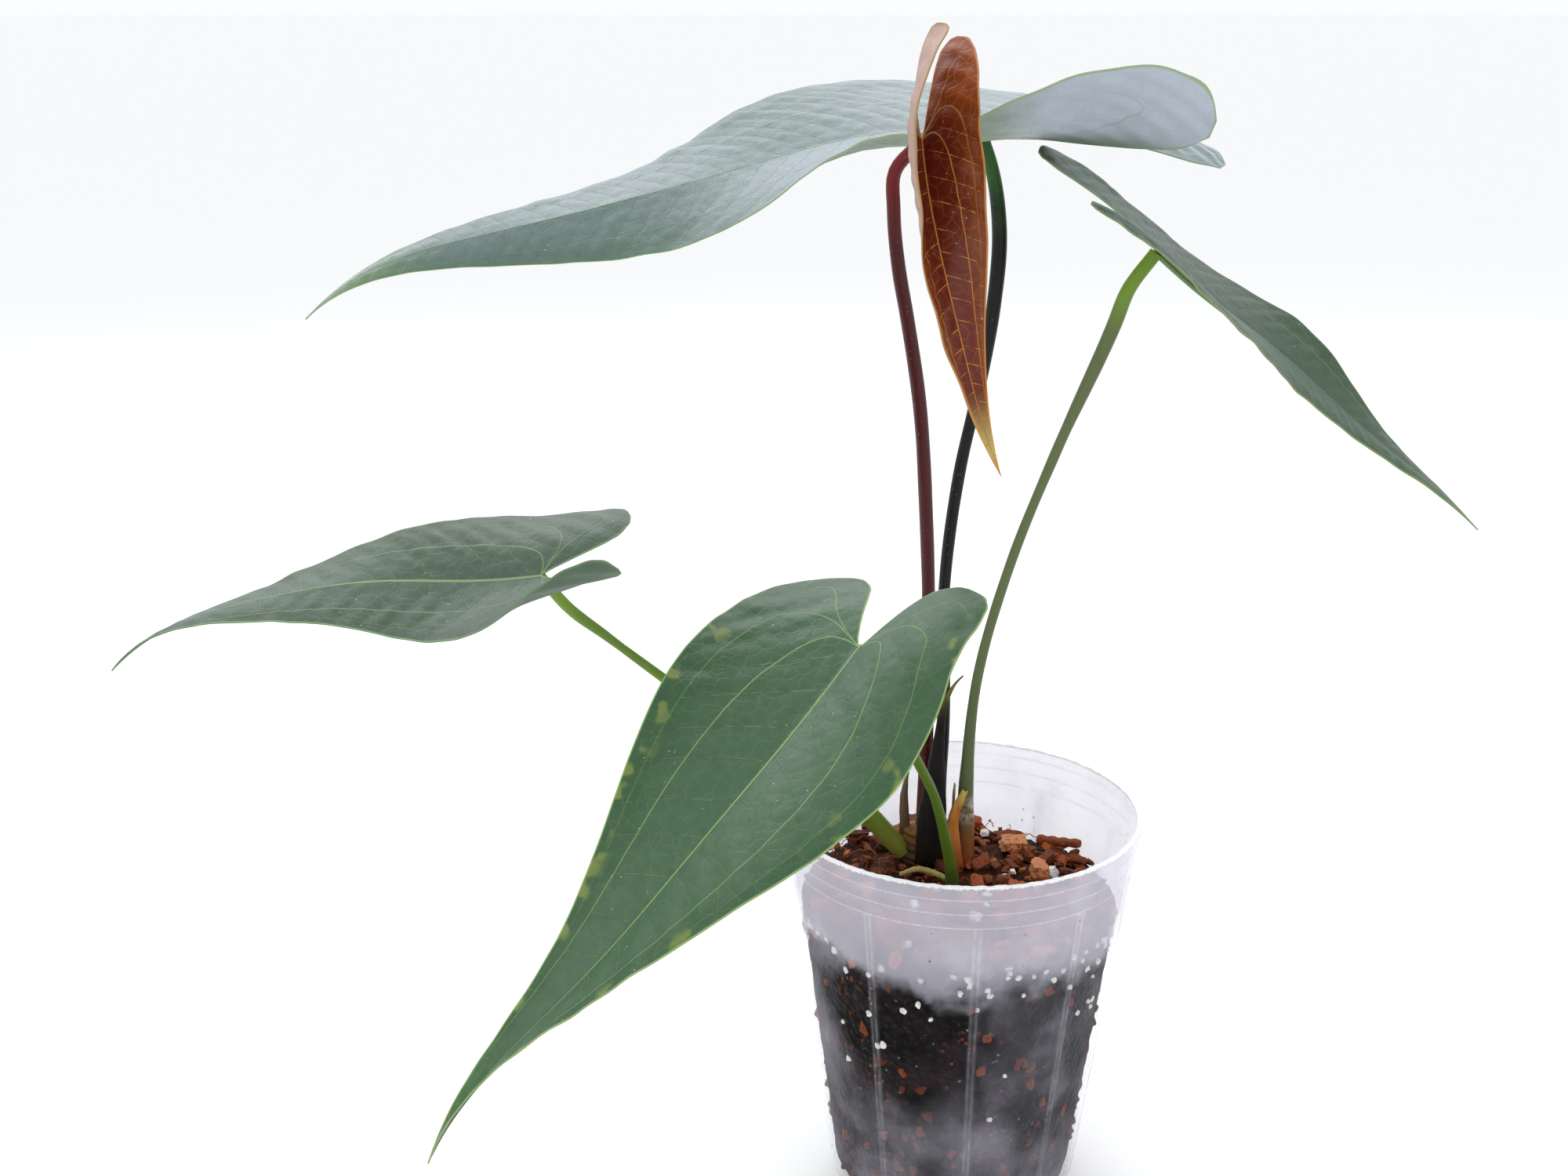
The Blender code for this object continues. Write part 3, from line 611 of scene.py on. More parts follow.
def vein_lines(paint, name, width):
    """How much of a main vein, a side vein and the fine net shows at each point of a blade, each from 0 to 1."""
    arcs = paint.place("arcs")
    along = paint.number("along")
    outward = paint.number("outward")
    thin = width * (1.15 - along * 0.75)
    main = 0
    for axis, strength in ((0, 0.75), (1, 0.5), (2, 0.4)):
        gap = abs(paint.part_of(arcs, axis))
        main = paint.ease(gap, thin, thin * 0.25) * strength * paint.ease(outward, 1.0, 0.6) + main
    gap = abs(paint.part_of(paint.place("flat"), 1))
    main = main + paint.ease(gap, thin * 1.3, thin * 0.5) * paint.ease(along, -0.02, 0.0)
    count = paint.number("count") + 0.5
    off = abs(count.math("FRACT", count) - 0.5) * RELIEF[name]["pitch"]
    wobble = paint.noise(paint.place("flat"), 0.35, 2) * 0.9 - 0.45
    side = paint.ease(abs(off + wobble), width * 0.7, width * 0.15) * paint.ease(along, -0.03, 0.03)
    side = side * paint.ease(outward, 0.97, 0.78)
    warped = paint.node("VectorMath", {"operation": "ADD"},
                        {0: paint.place("flat"),
                         1: paint.node("TexNoise", {}, {"Vector": paint.place("flat"), "Scale": 0.3}, "Color")})
    net = paint.ease(paint.cells(warped, 0.24, "DISTANCE_TO_EDGE"), 0.055, 0.012)
    return main, side, net


def blade_paint(name, colours, side_strength, net_strength, roughness, tip, lobe=None, wide=0.28):
    """The upper face of a blade: outer zone, veins, painted shade in the quilted hollows, thin pale rim, puckered
    cells, dust and a paler tip.
    """
    blade, edge_colour, vein = colours
    paint = Paint(f"{name} blade", Specular_IOR_Level=0.3 if name == "new" else 0.45,
                  Sheen_Weight=RELIEF[name]["sheen"], Sheen_Roughness=0.4, Sheen_Tint=(0.80, 0.86, 1.0, 1))
    flat = paint.place("flat")
    along = paint.number("along")
    outward = paint.number("outward")
    mottled = paint.noise(flat, 0.09, 4)
    zone = paint.ease(outward + (mottled - 0.5) * 0.5, 0.45, 0.9)
    colour = paint.blend(zone, blade, edge_colour)
    if lobe:
        colour = paint.blend(paint.ease(along, 0.03, -0.16), colour, lobe)
    colour = paint.blend(paint.ease(paint.noise(flat, 0.35, 3), 0.45, 0.75) * 0.35, colour, lightened(blade, 0.62))
    quilt = paint.number("count")
    # Painted shade: darker along the sunken side veins, in the hollows between the quilted puffs.
    painted_hollow_shade = abs(quilt.math("FRACT", quilt) - 0.5) * 2
    colour = paint.blend(painted_hollow_shade * paint.ease(outward, 0.1, 0.5) * 0.2, colour, lightened(edge_colour, 0.6))
    colour = paint.blend(paint.ease(along, 0.74, 0.97), colour, tip)
    if name == "front":
        ageing = paint.ease(paint.noise(flat, 0.085, 2), 0.57, 0.66) * paint.ease(outward, 0.72, 0.95)
        colour = paint.blend(ageing * 0.55, colour, (0.26, 0.31, 0.05))
    main, side, net = vein_lines(paint, name, wide)
    colour = paint.blend(net * net_strength, colour, vein)
    colour = paint.blend(side * side_strength, colour, vein)
    colour = paint.blend(main.math("MINIMUM", main, 1) * 0.9, colour, vein)
    near_rim = paint.number("edge")
    colour = paint.blend(paint.ease(near_rim, 0.55, 0.2) * 0.75, colour, lightened(vein, 1.05))
    dust = paint.ease(paint.cells(flat, 0.33), 0.075, 0.05) * paint.ease(paint.noise(flat, 0.05, 1), 0.48, 0.62)
    colour = paint.blend(dust * 0.6, colour, (0.75, 0.8, 0.72))
    shine = paint.noise(flat, 0.6, 2) * 0.14 + (roughness - 0.07) + zone * 0.05
    cells = paint.ease(paint.cells(flat, 0.24, "SMOOTH_F1"), 0.75, 0.1)
    height = cells * 0.5 + paint.noise(flat, 0.9, 4) * 0.16 - side * 0.35 - net * 0.12 + main * 0.4
    return paint.finish(colour, shine, height, 0.35 * MM)


def under_paint(name, colour, rim, lobe=None):
    """The underside and rim of a blade: paler, matt, with the veins standing out. Its lobes may carry a painted sheen
    in the given lobe colour, turning dark green nearer the sinus.
    """
    paint = Paint(f"{name} underside", Specular_IOR_Level=0.35)
    flat = paint.place("flat")
    main, side, net = vein_lines(paint, name, 0.4)
    shade = paint.blend(paint.noise(flat, 0.2, 4), lightened(colour, 0.8), lightened(colour, 1.15))
    if lobe:
        # Painted sheen: the outer part of each lobe takes the pale lobe colour, standing in for the bright grazing
        # reflection; nearer the sinus it turns dark green.
        back = paint.number("along") + (paint.noise(flat, 0.12, 3) - 0.5) * 0.05
        pale = paint.blend(paint.noise(flat, 0.14, 4), lightened(lobe, 0.85), lightened(lobe, 1.15))
        shade = paint.blend(paint.ease(back, -0.02, -0.14) * paint.ease(paint.number("outward"), 0.25, 0.5), shade, pale)
        shade = paint.blend(paint.ease(back, -0.16, -0.04) * paint.ease(paint.number("outward"), 0.45, 0.15), shade,
                            (0.012, 0.035, 0.015))
    shade = paint.blend(paint.ease(paint.number("edge"), 0.9, 0.3) * 0.8, shade, rim)
    shade = paint.blend(main.math("MINIMUM", main + side * 0.5 + net * 0.06, 1) * 0.5, shade, rim)
    return paint.finish(shade, paint.noise(flat, 0.5, 2) * 0.15 + 0.48, main + side * 0.6 + net * 0.12, 0.4 * MM)


def midrib_paint(name, base, tip):
    paint = Paint(f"{name} midrib", Specular_IOR_Level=0.5)
    along = paint.number("along")
    streaks = paint.noise(paint.stretched(paint.place("flat"), (0.1, 3, 1)), 1.0, 2)
    shade = paint.blend(paint.ease(along, 0.35, 0.95), base, tip)
    shade = paint.blend(streaks * 0.3, shade, lightened(base, 0.6))
    return paint.finish(shade, streaks * 0.2 + 0.32, streaks, 0.1 * MM)


def blade_finishes(name, look):
    """The three finishes of one blade: above, below and midrib."""
    colours = [getattr(look, f"{name}_{zone}") for zone in ("blade", "edge", "vein")]
    vein = colours[2]
    if name == "front":
        upper = blade_paint(name, colours, 0.30, 0.05, 0.40, (0.040, 0.13, 0.022))
        return upper, under_paint(name, (0.13, 0.20, 0.11), (0.28, 0.36, 0.14)), midrib_paint(name, vein, colours[1])
    if name == "side":
        upper = blade_paint(name, colours, 0.34, 0.08, 0.42, (0.03, 0.06, 0.03))
        return upper, under_paint(name, (0.085, 0.14, 0.09), (0.14, 0.22, 0.1)), midrib_paint(name, vein, colours[1])
    if name == "top":
        upper = blade_paint(name, colours, 0.22, 0.12, 0.42, (0.10, 0.19, 0.03))
        # The pale bluish grey lobe colour of the top blade's underside is a painted sheen.
        return upper, under_paint(name, (0.20, 0.26, 0.20), (0.26, 0.38, 0.14), (0.42, 0.47, 0.54)), midrib_paint(name, vein, vein)
    if name == "new":
        upper = blade_paint(name, colours, 0.85, 0.10, 0.36, (0.46, 0.42, 0.13), (0.30, 0.055, 0.003), 0.3)
        return upper, under_paint(name, (0.42, 0.27, 0.22), (0.30, 0.20, 0.05)), midrib_paint(name, (0.20, 0.05, 0.01), vein)
    upper = blade_paint(name, colours, 0.25, 0.05, 0.42, (0.05, 0.12, 0.03))
    return upper, under_paint(name, (0.11, 0.17, 0.09), (0.2, 0.3, 0.08)), midrib_paint(name, vein, colours[1])


class MakeLeaves(bpy.types.Operator):
    """Builds the five blades with their veins, quilting and thin rims."""

    bl_idname = "anthurium.make_leaves"
    bl_label = "Leaves"

    def execute(self, context):
        look = context.scene.anthurium_leaves
        for name in LEAVES:
            pile = Pile()
            add_blade(pile, name, look.thickness)
            add_midrib(pile, name)
            pile.build(f"blade_{name}", blade_finishes(name, look), [f"leaf_{name}"], weld=True)
        return {"FINISHED"}


# Stalks, crown and sheaths


def stalk_paint(name, skin, joint, foot, bloom=False):
    """A smooth stalk: its own colour, a paler swollen joint at the top and an older foot, with fine streaks."""
    paint = Paint(f"{name} stalk", Specular_IOR_Level=0.28)
    along = paint.number("along")
    here = paint.here()
    streaks = paint.noise(paint.stretched(here, (1, 1, 0.06)), 900, 3)
    shade = paint.blend(streaks * 0.45, skin, lightened(skin, 0.55))
    shade = paint.blend(paint.ease(along + (paint.noise(here, 90, 2) - 0.5) * 0.08, 0.86, 0.96), shade, joint)
    shade = paint.blend(paint.ease(along + (paint.noise(here, 120, 2) - 0.5) * 0.06, 0.14, 0.03), shade, foot)
    if bloom:
        ring = paint.ease(abs(along - 0.10), 0.03, 0.005) * paint.ease(paint.noise(here, 500, 3), 0.35, 0.65)
        shade = paint.blend(ring * 0.7, shade, (0.62, 0.60, 0.52))
    specks = paint.ease(paint.cells(here, 420), 0.14, 0.07) * 0.1
    shade = paint.blend(specks, shade, (0.6, 0.62, 0.5))
    height = streaks * 0.6 + paint.node("TexWave", {"wave_type": "BANDS"},
                                        {"Vector": paint.stretched(here, (1, 1, 0)), "Scale": 90.0}, "Fac") * 0.2
    return paint.finish(shade, streaks * 0.18 + 0.3, height, 0.12 * MM)


def sheath_paint(name, low, middle, tip, ribs=700):
    """A papery sheath with lengthwise ribs, darker below and paler towards its point."""
    paint = Paint(f"{name} sheath", Specular_IOR_Level=0.2)
    along = paint.number("along")
    here = paint.here()
    fibres = paint.noise(paint.stretched(here, (1, 1, 0.05)), ribs, 4)
    wander = paint.noise(here, 160, 3)
    shade = paint.blend(paint.ease(along + (wander - 0.5) * 0.3, 0.08, 0.5), low, middle)
    shade = paint.blend(paint.ease(along + (wander - 0.5) * 0.2, 0.72, 0.95), shade, tip)
    shade = paint.blend(paint.ease(fibres, 0.4, 0.7) * 0.5, shade, lightened(middle, 0.5))
    return paint.finish(shade, fibres * 0.25 + 0.35, fibres, 0.25 * MM)


def widths_along(widths, places):
    return np.interp(places, np.linspace(0, 1, len(widths)), widths) * MM


class MakeStalks(bpy.types.Operator):
    """Builds the five stalks, each with a swollen joint under its blade and a wider foot."""

    bl_idname = "anthurium.make_stalks"
    bl_label = "Stalks"

    def execute(self, context):
        look = context.scene.anthurium_stalks
        finishes = {
            "new": stalk_paint("new", look.new, lightened(look.new, 2.2), (0.11, 0.03, 0.01)),
            "top": stalk_paint("top", look.top, (0.03, 0.11, 0.02), (0.02, 0.012, 0.006)),
            "right": stalk_paint("right", look.right, look.joint, (0.24, 0.075, 0.02), bloom=True),
            "front": stalk_paint("front", look.front, look.joint, (0.035, 0.05, 0.01)),
            "side": stalk_paint("side", look.side, look.joint, (0.20, 0.22, 0.03)),
        }
        for name, (points, widths) in STALKS.items():
            attach, _, up = leaf_frames(LEAVES[name], np.array([0.0]))
            route, places = smooth_route(np.array([*points, tuple((attach[0] - up[0] * 0.5 * MM) / MM)]) * MM, 110)
            radii = widths_along(widths, places)
            radii *= [1 + 0.05 * noise.noise(Vector((0, len(name), p * 14))) for p in places]
            pile = Pile()
            shape, faces, along, around = bar(route, radii, 20, flatness=0.94)
            pile.add(shape, faces, 0, along=along, around=around)
            pile.build(f"petiole_{name}", [finishes[name]], [f"stalk_{name}"])
        return {"FINISHED"}


def make_sheath(name, material, node, span_degrees=(-200, 20), flatness=0.5, shell=0.35):
    """An open sheath: an outer channel and an inner one a shell's thickness inside it, joined along their edges."""
    points, widths = SHEATHS[name]
    route, places = smooth_route(np.array(points) * MM, 46)
    radii = widths_along(widths, places)
    turn = tuple(math.radians(angle) for angle in span_degrees)
    outer, faces, along, _ = bar(route, radii, 22, flatness, turn)
    inner = bar(route, np.maximum(radii - shell * MM, 0.05 * MM), 22, flatness, turn)[0]
    ripple = [0.25 * MM * noise.noise(Vector(p) * 260) for p in outer]
    centre = np.repeat(route, 23, axis=0)
    away = outer - centre
    away /= np.linalg.norm(away, axis=1)[:, None]
    shift = away * np.array(ripple)[:, None]
    pile = Pile()
    pile.add(outer + shift, faces, 0, along=along)
    pile.add(inner + shift, [face[::-1] for face in faces], 0, along=along)
    count = len(outer)
    rings = len(route)
    loop = [r * 23 for r in range(rings)] + [(rings - 1) * 23 + k for k in range(1, 23)]
    loop += [r * 23 + 22 for r in range(rings - 2, -1, -1)] + list(range(21, -1, -1))
    pile.faces += [[a, b, b + count, a + count] for a, b in zip(loop, loop[1:])]
    pile.slots += [0] * (len(loop) - 1)
    return pile.build(f"wrap_{name}", [material], [node])


class MakeSheaths(bpy.types.Operator):
    """Builds the crown, the sheaths round it and the aerial root."""

    bl_idname = "anthurium.make_sheaths"
    bl_label = "Crown and sheaths"

    def execute(self, context):
        look = context.scene.anthurium_stalks
        dark = sheath_paint("dark", look.sheath, look.sheath, (0.16, 0.15, 0.03))
        make_sheath("dark", dark, "sheath_dark", (-230, 50), 0.62)
        make_sheath("olive", sheath_paint("olive", (0.09, 0.05, 0.02), (0.17, 0.12, 0.07), (0.25, 0.18, 0.1)),
                    "sheath_olive", (-200, 20), 0.7)
        amber = sheath_paint("amber", (0.32, 0.07, 0.015), look.amber, (0.62, 0.46, 0.10))
        make_sheath("amber", amber, "sheath_amber", (-215, 35), 0.75)
        make_sheath("bud", sheath_paint("bud", (0.10, 0.08, 0.03), (0.16, 0.15, 0.05), (0.35, 0.33, 0.12)),
                    "sheath_bud", (-250, 70), 1.0)
        pile = Pile()
        heights = np.linspace(100, 128.5, 40)
        rings = np.interp(heights, [100, 112, 118, 123, 127, 128.5], [5.5, 7.4, 7.8, 7.2, 6.2, 3.5]) * MM
        rings += np.array([0.35 * MM * math.sin(h * 2.4) for h in heights])
        route = np.stack([np.full(40, CROWN.x), np.full(40, CROWN.y), heights * MM], 1)
        shape, faces, along, around = bar(route, rings, 40)
        shape += np.array([[0.4 * MM * noise.noise(Vector(p) * 300)] * 2 + [0] for p in shape])
        pile.add(shape, faces, 0, along=along)
        bark = sheath_paint("crown", (0.035, 0.018, 0.008), (0.07, 0.035, 0.012), (0.22, 0.09, 0.02), 400)
        pile.build("stem_crown", [bark], ["crown"])
        pile = Pile()
        route, places = smooth_route(np.array(AERIAL_ROOT[0]) * MM, 40)
        radii = widths_along(AERIAL_ROOT[1], places) * (1 + 0.08 * np.sin(places * 50))
        shape, faces, along, _ = bar(route, radii, 14)
        pile.add(shape, faces, 0, along=along)
        root = sheath_paint("root", (0.42, 0.30, 0.12), (0.40, 0.34, 0.12), (0.22, 0.36, 0.06), 500)
        pile.build("root_tip", [root], ["aerial_root"])
        return {"FINISHED"}


# Pot


def wall_radius(height):
    """Radius of the plain outer wall at a height above the slanted foot."""
    return POT_TOP_RADIUS - POT_SLOPE * (POT_HEIGHT - height)


def outer_profile():
    """(radius, height, rib share) rows from the middle of the underside to the top edge."""
    rows = [(0, 0.6 * MM, 0), (0.6 * POT_FOOT_RADIUS, 0.6 * MM, 0), (POT_FOOT_RADIUS - 3 * MM, 0.6 * MM, 0),
            (POT_FOOT_RADIUS - 2.5 * MM, 0, 0), (POT_FOOT_RADIUS, 0, 0)]
    shoulder = wall_radius(POT_SHOULDER_HEIGHT)
    for t in (0.15, 0.35, 0.55, 0.75, 0.88):
        rows.append((POT_FOOT_RADIUS + (shoulder - POT_FOOT_RADIUS) * t, POT_SHOULDER_HEIGHT * t, 1))
    top = POT_HEIGHT - 3 * RIM_BAND
    for height in np.linspace(POT_SHOULDER_HEIGHT, top - 0.8 * MM, 30).tolist():
        rows.append((wall_radius(height), height, 1))
    for band in (3, 2, 1):
        height = POT_HEIGHT - band * RIM_BAND
        offset = (3 - band) * RIM_STEP
        rows.append((wall_radius(height) + offset, height - 0.35 * MM, 0.5 if band == 3 else 0))
        rows.append((wall_radius(height) + offset + 1.3 * RIM_STEP, height, 0))
        rows.append((wall_radius(height) + offset + RIM_STEP, height + 0.5 * MM, 0))
        rows.append((wall_radius(height + 3 * MM) + offset + RIM_STEP, height + 3 * MM, 0))
    rows.append((POT_TOP_RADIUS + 3 * RIM_STEP, POT_HEIGHT - 0.3 * MM, 0))
    return rows


def inner_radius(height):
    """Radius of the pot's inside at a height, in the slanted foot or above it."""
    shoulder = wall_radius(POT_SHOULDER_HEIGHT) - POT_WALL
    if height >= POT_SHOULDER_HEIGHT:
        return shoulder + POT_SLOPE * (height - POT_SHOULDER_HEIGHT)
    foot = POT_FOOT_RADIUS - POT_WALL
    return foot + (shoulder - foot) * (height - POT_FLOOR) / (POT_SHOULDER_HEIGHT - POT_FLOOR)


def pot_paint(look):
    """Milky plastic: a painted glow above the mix, paler and more opaque, for light scattered in the wall where air
    lies behind it; clearer where wet mix touches it; painted highlights at its bends; with specks of mix stuck to it."""
    paint = Paint("milky plastic", Specular_IOR_Level=0.55, Subsurface_Weight=0.35, Subsurface_Scale=0.01,
                  Subsurface_Radius=(1, 0.9, 1))
    here = paint.here()
    height = paint.part_of(here, 2)
    cloud = paint.noise(here, 45, 4)
    level = height + (cloud - 0.5) * 0.03
    # Painted glow: above the mix level the wall turns more opaque and pale, standing in for light scattered in the
    # plastic.
    above_mix_glow = paint.ease(level, 0.098, 0.108)
    wet = paint.node("VectorMath", {"operation": "DISTANCE"}, {0: here, 1: (-0.024, -0.05, 0.085)}, "Value")
    wet = paint.ease(wet + (paint.noise(here, 70, 3) - 0.5) * 0.02, 0.038, 0.024)
    film = paint.ease(paint.noise(here, 38, 5), 0.38, 0.75) * 0.13 + 0.03
    cover = film * (1 - wet) + above_mix_glow * look.painted_glow
    # Painted highlight: band steps and ribs made paler and more opaque, standing in for light catching their edges,
    # broken up by streaks.
    bend = paint.number("bend")
    bend_streaks = paint.ease(paint.noise(paint.stretched(here, (1, 1, 0.25)), 900, 3), 0.35, 0.7)
    cover = cover + bend * (0.25 + bend_streaks * 0.3)
    crumb = paint.ease(height + (paint.noise(here, 700, 3) - 0.5) * 0.002, POT_HEIGHT - 1.3 * MM, POT_HEIGHT - 0.6 * MM)
    cover = cover + crumb * 0.6
    spot = paint.ease(paint.cells(here, 240), 0.12, 0.07)
    spot = spot * paint.ease(paint.noise(here, 55, 2), 0.5, 0.62) * paint.ease(height, 0.137, 0.125)
    colour = paint.blend(cloud * 0.25, look.plastic, (0.70, 0.71, 0.86))
    # Whiter at the crumbled top edge, plus the painted highlight at the band steps and ribs.
    colour = paint.blend(crumb + bend * 0.5, colour, (0.93, 0.93, 0.97))
    colour = paint.blend(spot, colour, (0.05, 0.022, 0.01))
    cover = cover.math("MAXIMUM", cover, spot * 0.9)
    rough = paint.noise(here, 300, 3) * 0.2 + 0.28 + crumb * 0.3
    return paint.finish(colour, rough, paint.noise(here, 260, 3) + crumb * 2, 0.15 * MM, cover.math("MINIMUM", cover, 1))


class MakePot(bpy.types.Operator):
    """Builds the thin pot with its stepped bands, upright ribs and crumbled white edge."""

    bl_idname = "anthurium.make_pot"
    bl_label = "Pot"

    def execute(self, context):
        look = context.scene.anthurium_pot
        outside = outer_profile()
        inside = [(inner_radius(h), h, 0) for h in np.linspace(POT_HEIGHT - 0.4 * MM, POT_SHOULDER_HEIGHT, 24).tolist()]
        inside += [(inner_radius(h), h, 0) for h in np.linspace(POT_SHOULDER_HEIGHT - 1 * MM, POT_FLOOR, 6).tolist()]
        profile = outside + inside + [(inner_radius(POT_FLOOR) * 0.5, POT_FLOOR, 0), (0, POT_FLOOR, 0)]
        turns = 400
        angles = np.linspace(0, 2 * math.pi, turns, endpoint=False)
        pitch = 2 * math.pi / max(look.ribs, 1)
        phase = (angles - math.radians(-90) - math.radians(1) + pitch / 2) % pitch - pitch / 2
        rib = np.exp(-((abs(phase) * 50 - 0.7) / 0.55) ** 2) if look.ribs else np.zeros(turns)
        points, bends = [], []
        top = POT_HEIGHT - 1 * MM
        band_heights = [POT_HEIGHT - band * RIM_BAND for band in (1, 2, 3)]
        for k, (radius, height, share) in enumerate(profile):
            outer = k < len(outside)
            ring = radius + rib * share * look.rib_height
            lift = np.zeros(turns)
            if height > top:
                lift = np.array([0.45 * MM * noise.noise(Vector((math.cos(a), math.sin(a), 0)) * 22) for a in angles])
            points.append(np.stack([ring * np.cos(angles), ring * np.sin(angles), height + lift], 1))
            at_band = outer and min(abs(height - b) for b in band_heights) < 0.2 * MM
            # Strength of the painted highlight along the ribs and band steps.
            bends.append(np.maximum(rib * share * 0.35, 0.7 if at_band else 0.0))
        pile = Pile()
        faces = [(r * turns + k, r * turns + (k + 1) % turns, (r + 1) * turns + (k + 1) % turns, (r + 1) * turns + k)
                 for r in range(len(profile) - 1) for k in range(turns)]
        pile.add(np.concatenate(points), faces, 0, bend=np.concatenate(bends))
        pile.build("milky_pot", [pot_paint(look)], ["pot"], weld=True, sharp_degrees=60)
        return {"FINISHED"}


# Bark mix


def mix_height(x, y):
    """Level of the mix at a place: a low mound under the crown on a flat bed."""
    away = (x - CROWN.x) ** 2 + (y - CROWN.y) ** 2
    return MIX_EDGE + MIX_MOUND * math.exp(-away / MIX_MOUND_WIDTH**2)


def lump(size, seed, boxy=0.6, rough=0.22, cuts=4):
    """Points and faces of a broken lump: a gridded block rounded, pitted and split by noise."""
    bm = bmesh.new()
    bmesh.ops.create_cube(bm, size=2)
    bmesh.ops.subdivide_edges(bm, edges=bm.edges[:], cuts=cuts, use_grid_fill=True)
    stretch = Vector(size) / 2
    for vert in bm.verts:
        place = vert.co.copy()
        place = place.lerp(place.normalized() * 1.15, 1 - boxy)
        push = 1 + rough * noise.noise(place * 1.3 + Vector((seed, 0, 0))) + rough * 0.5 * noise.noise(
            place * 3.1 + Vector((0, seed, 0)))
        vert.co = Vector(p * push * s for p, s in zip(place, stretch))
    points = np.array([vert.co[:] for vert in bm.verts])
    faces = [[vert.index for vert in face.verts] for face in bm.faces]
    bm.free()
    return points, faces


def tipped(points, turn, place):
    """Points turned by (x, y, z) angles and moved to a place."""
    from_x, from_y, from_z = (np.array([math.sin(a), math.cos(a)]) for a in turn)
    (sx, cx), (sy, cy), (sz, cz) = from_x, from_y, from_z
    spin = (np.array([[cz, -sz, 0], [sz, cz, 0], [0, 0, 1]]) @ np.array([[cy, 0, sy], [0, 1, 0], [-sy, 0, cy]])
            @ np.array([[1, 0, 0], [0, cx, -sx], [0, sx, cx]]))
    return points @ spin.T + np.asarray(place)


def bark_paint(look):
    """Bark: red-brown skin, paler broken faces and a lengthwise grain, each chip with its own tone."""
    paint = Paint("bark", Specular_IOR_Level=0.3)
    tone = paint.number("tone")
    here = paint.here()
    grain = paint.noise(paint.stretched(paint.place("grain"), (0.25, 1.4, 1.4)), 1.6, 5)
    shade = paint.ramp(tone * 0.75 + grain * 0.42, (0.0, (0.012, 0.005, 0.003)), (0.32, lightened(look.bark, 0.35)),
                       (0.55, look.bark), (0.78, lightened(look.bark, 1.9)), (1.0, look.heartwood))
    pits = paint.ease(paint.cells(here, 620), 0.35, 0.08)
    shade = paint.blend(pits * 0.6, shade, (0.02, 0.008, 0.004))
    return paint.finish(shade, grain * 0.3 + 0.55, grain + pits * -0.6, 0.5 * MM)


def grain_paint(look):
    """Perlite: chalky white with fine pores."""
    paint = Paint("perlite", Specular_IOR_Level=0.3)
    here = paint.here()
    pores = paint.ease(paint.cells(here, 1400), 0.1, 0.4)
    shade = paint.blend(pores, (0.48, 0.42, 0.36), look.perlite)
    return paint.finish(shade, pores * 0.2 + 0.7, pores, 0.3 * MM)


def soil_paint(look):
    """Wet fine mix seen through the wall and between the chips: dark crumbs, rusty flecks and pale patches."""
    paint = Paint("soil", Specular_IOR_Level=0.12)
    here = paint.here()
    crumbs = paint.cells(here, 420)
    patch = paint.noise(here, 60, 4)
    shade = paint.blend(paint.ease(patch, 0.42, 0.72), look.soil, (0.020, 0.013, 0.016))
    fleck = paint.ease(paint.noise(here, 330, 3), 0.60, 0.70) * paint.ease(paint.noise(here, 40, 2), 0.42, 0.6)
    shade = paint.blend(fleck, shade, lightened(look.bark, 0.8))
    shade = paint.blend(paint.ease(paint.part_of(here, 2), 0.108, 0.113) * 0.7, shade, (0.07, 0.022, 0.008))
    return paint.finish(shade, crumbs * 0.4 + 0.5, crumbs + patch, 0.9 * MM)


def add_lump(pile, pick, size, place, slot=0, tone=None, boxy=0.6, cuts=2, tip=0.5, rough=0.3):
    """One broken lump at a place, with its own tone and grain direction."""
    points, faces = lump(size, pick.uniform(0, 99), boxy, rough, cuts)
    turn = (pick.uniform(-tip, tip), pick.uniform(-tip, tip), pick.uniform(0, 2 * math.pi))
    grain = points / MM + pick.uniform(0, 50)
    tone = pick.uniform(0.1, 0.8) if tone is None else tone
    pile.add(tipped(points, turn, place), faces, slot, tone=tone, grain=grain)


def make_soil(look):
    """The plug of fine mix: uneven on top, with a lumpy side that lies just inside the wall."""
    turns, rows = 220, []
    top = inner_radius(MIX_EDGE) - 0.6 * MM
    for share in (0.0, 0.5, 1.0):
        rows.append(((inner_radius(2.4 * MM) - 0.8 * MM) * share, 2.4 * MM))
    for height in np.linspace(5 * MM, MIX_EDGE - 3 * MM, 46).tolist():
        rows.append((inner_radius(height) - 0.8 * MM, height))
    for share in np.linspace(0.985, 0, 34).tolist():
        rows.append((top * share, MIX_EDGE))
    angles = np.linspace(0, 2 * math.pi, turns, endpoint=False)
    points = []
    for radius, height in rows:
        for angle in angles.tolist():
            x, y = radius * math.cos(angle), radius * math.sin(angle)
            rough = noise.fractal(Vector((x, y, height)) * 160, 0.7, 2.0, 4)
            if height < MIX_EDGE - 1 * MM:
                inward = 1 - (0.5 + 0.5 * rough) * min(1, radius / 0.03) * 0.9 * MM / max(radius, 1 * MM)
                slump = max(0, (height - 0.098) / 0.014) * (0.5 + noise.noise(Vector((x, y, 0)) * 45)) * 4 * MM
                points.append((x * inward, y * inward, height - slump * 0.5))
            else:
                edge = max(0, radius / top - 0.85) / 0.15
                points.append((x, y, mix_height(x, y) + rough * 1.3 * MM - 1.4 * MM - edge * 2.5 * MM))
    faces = [(r * turns + k, r * turns + (k + 1) % turns, (r + 1) * turns + (k + 1) % turns, (r + 1) * turns + k)
             for r in range(len(rows) - 1) for k in range(turns)]
    pile = Pile()
    pile.add(points, faces, 0)
    return pile.build("soil_plug", [soil_paint(look)], ["potting_mix"], weld=True, sharp_degrees=80)


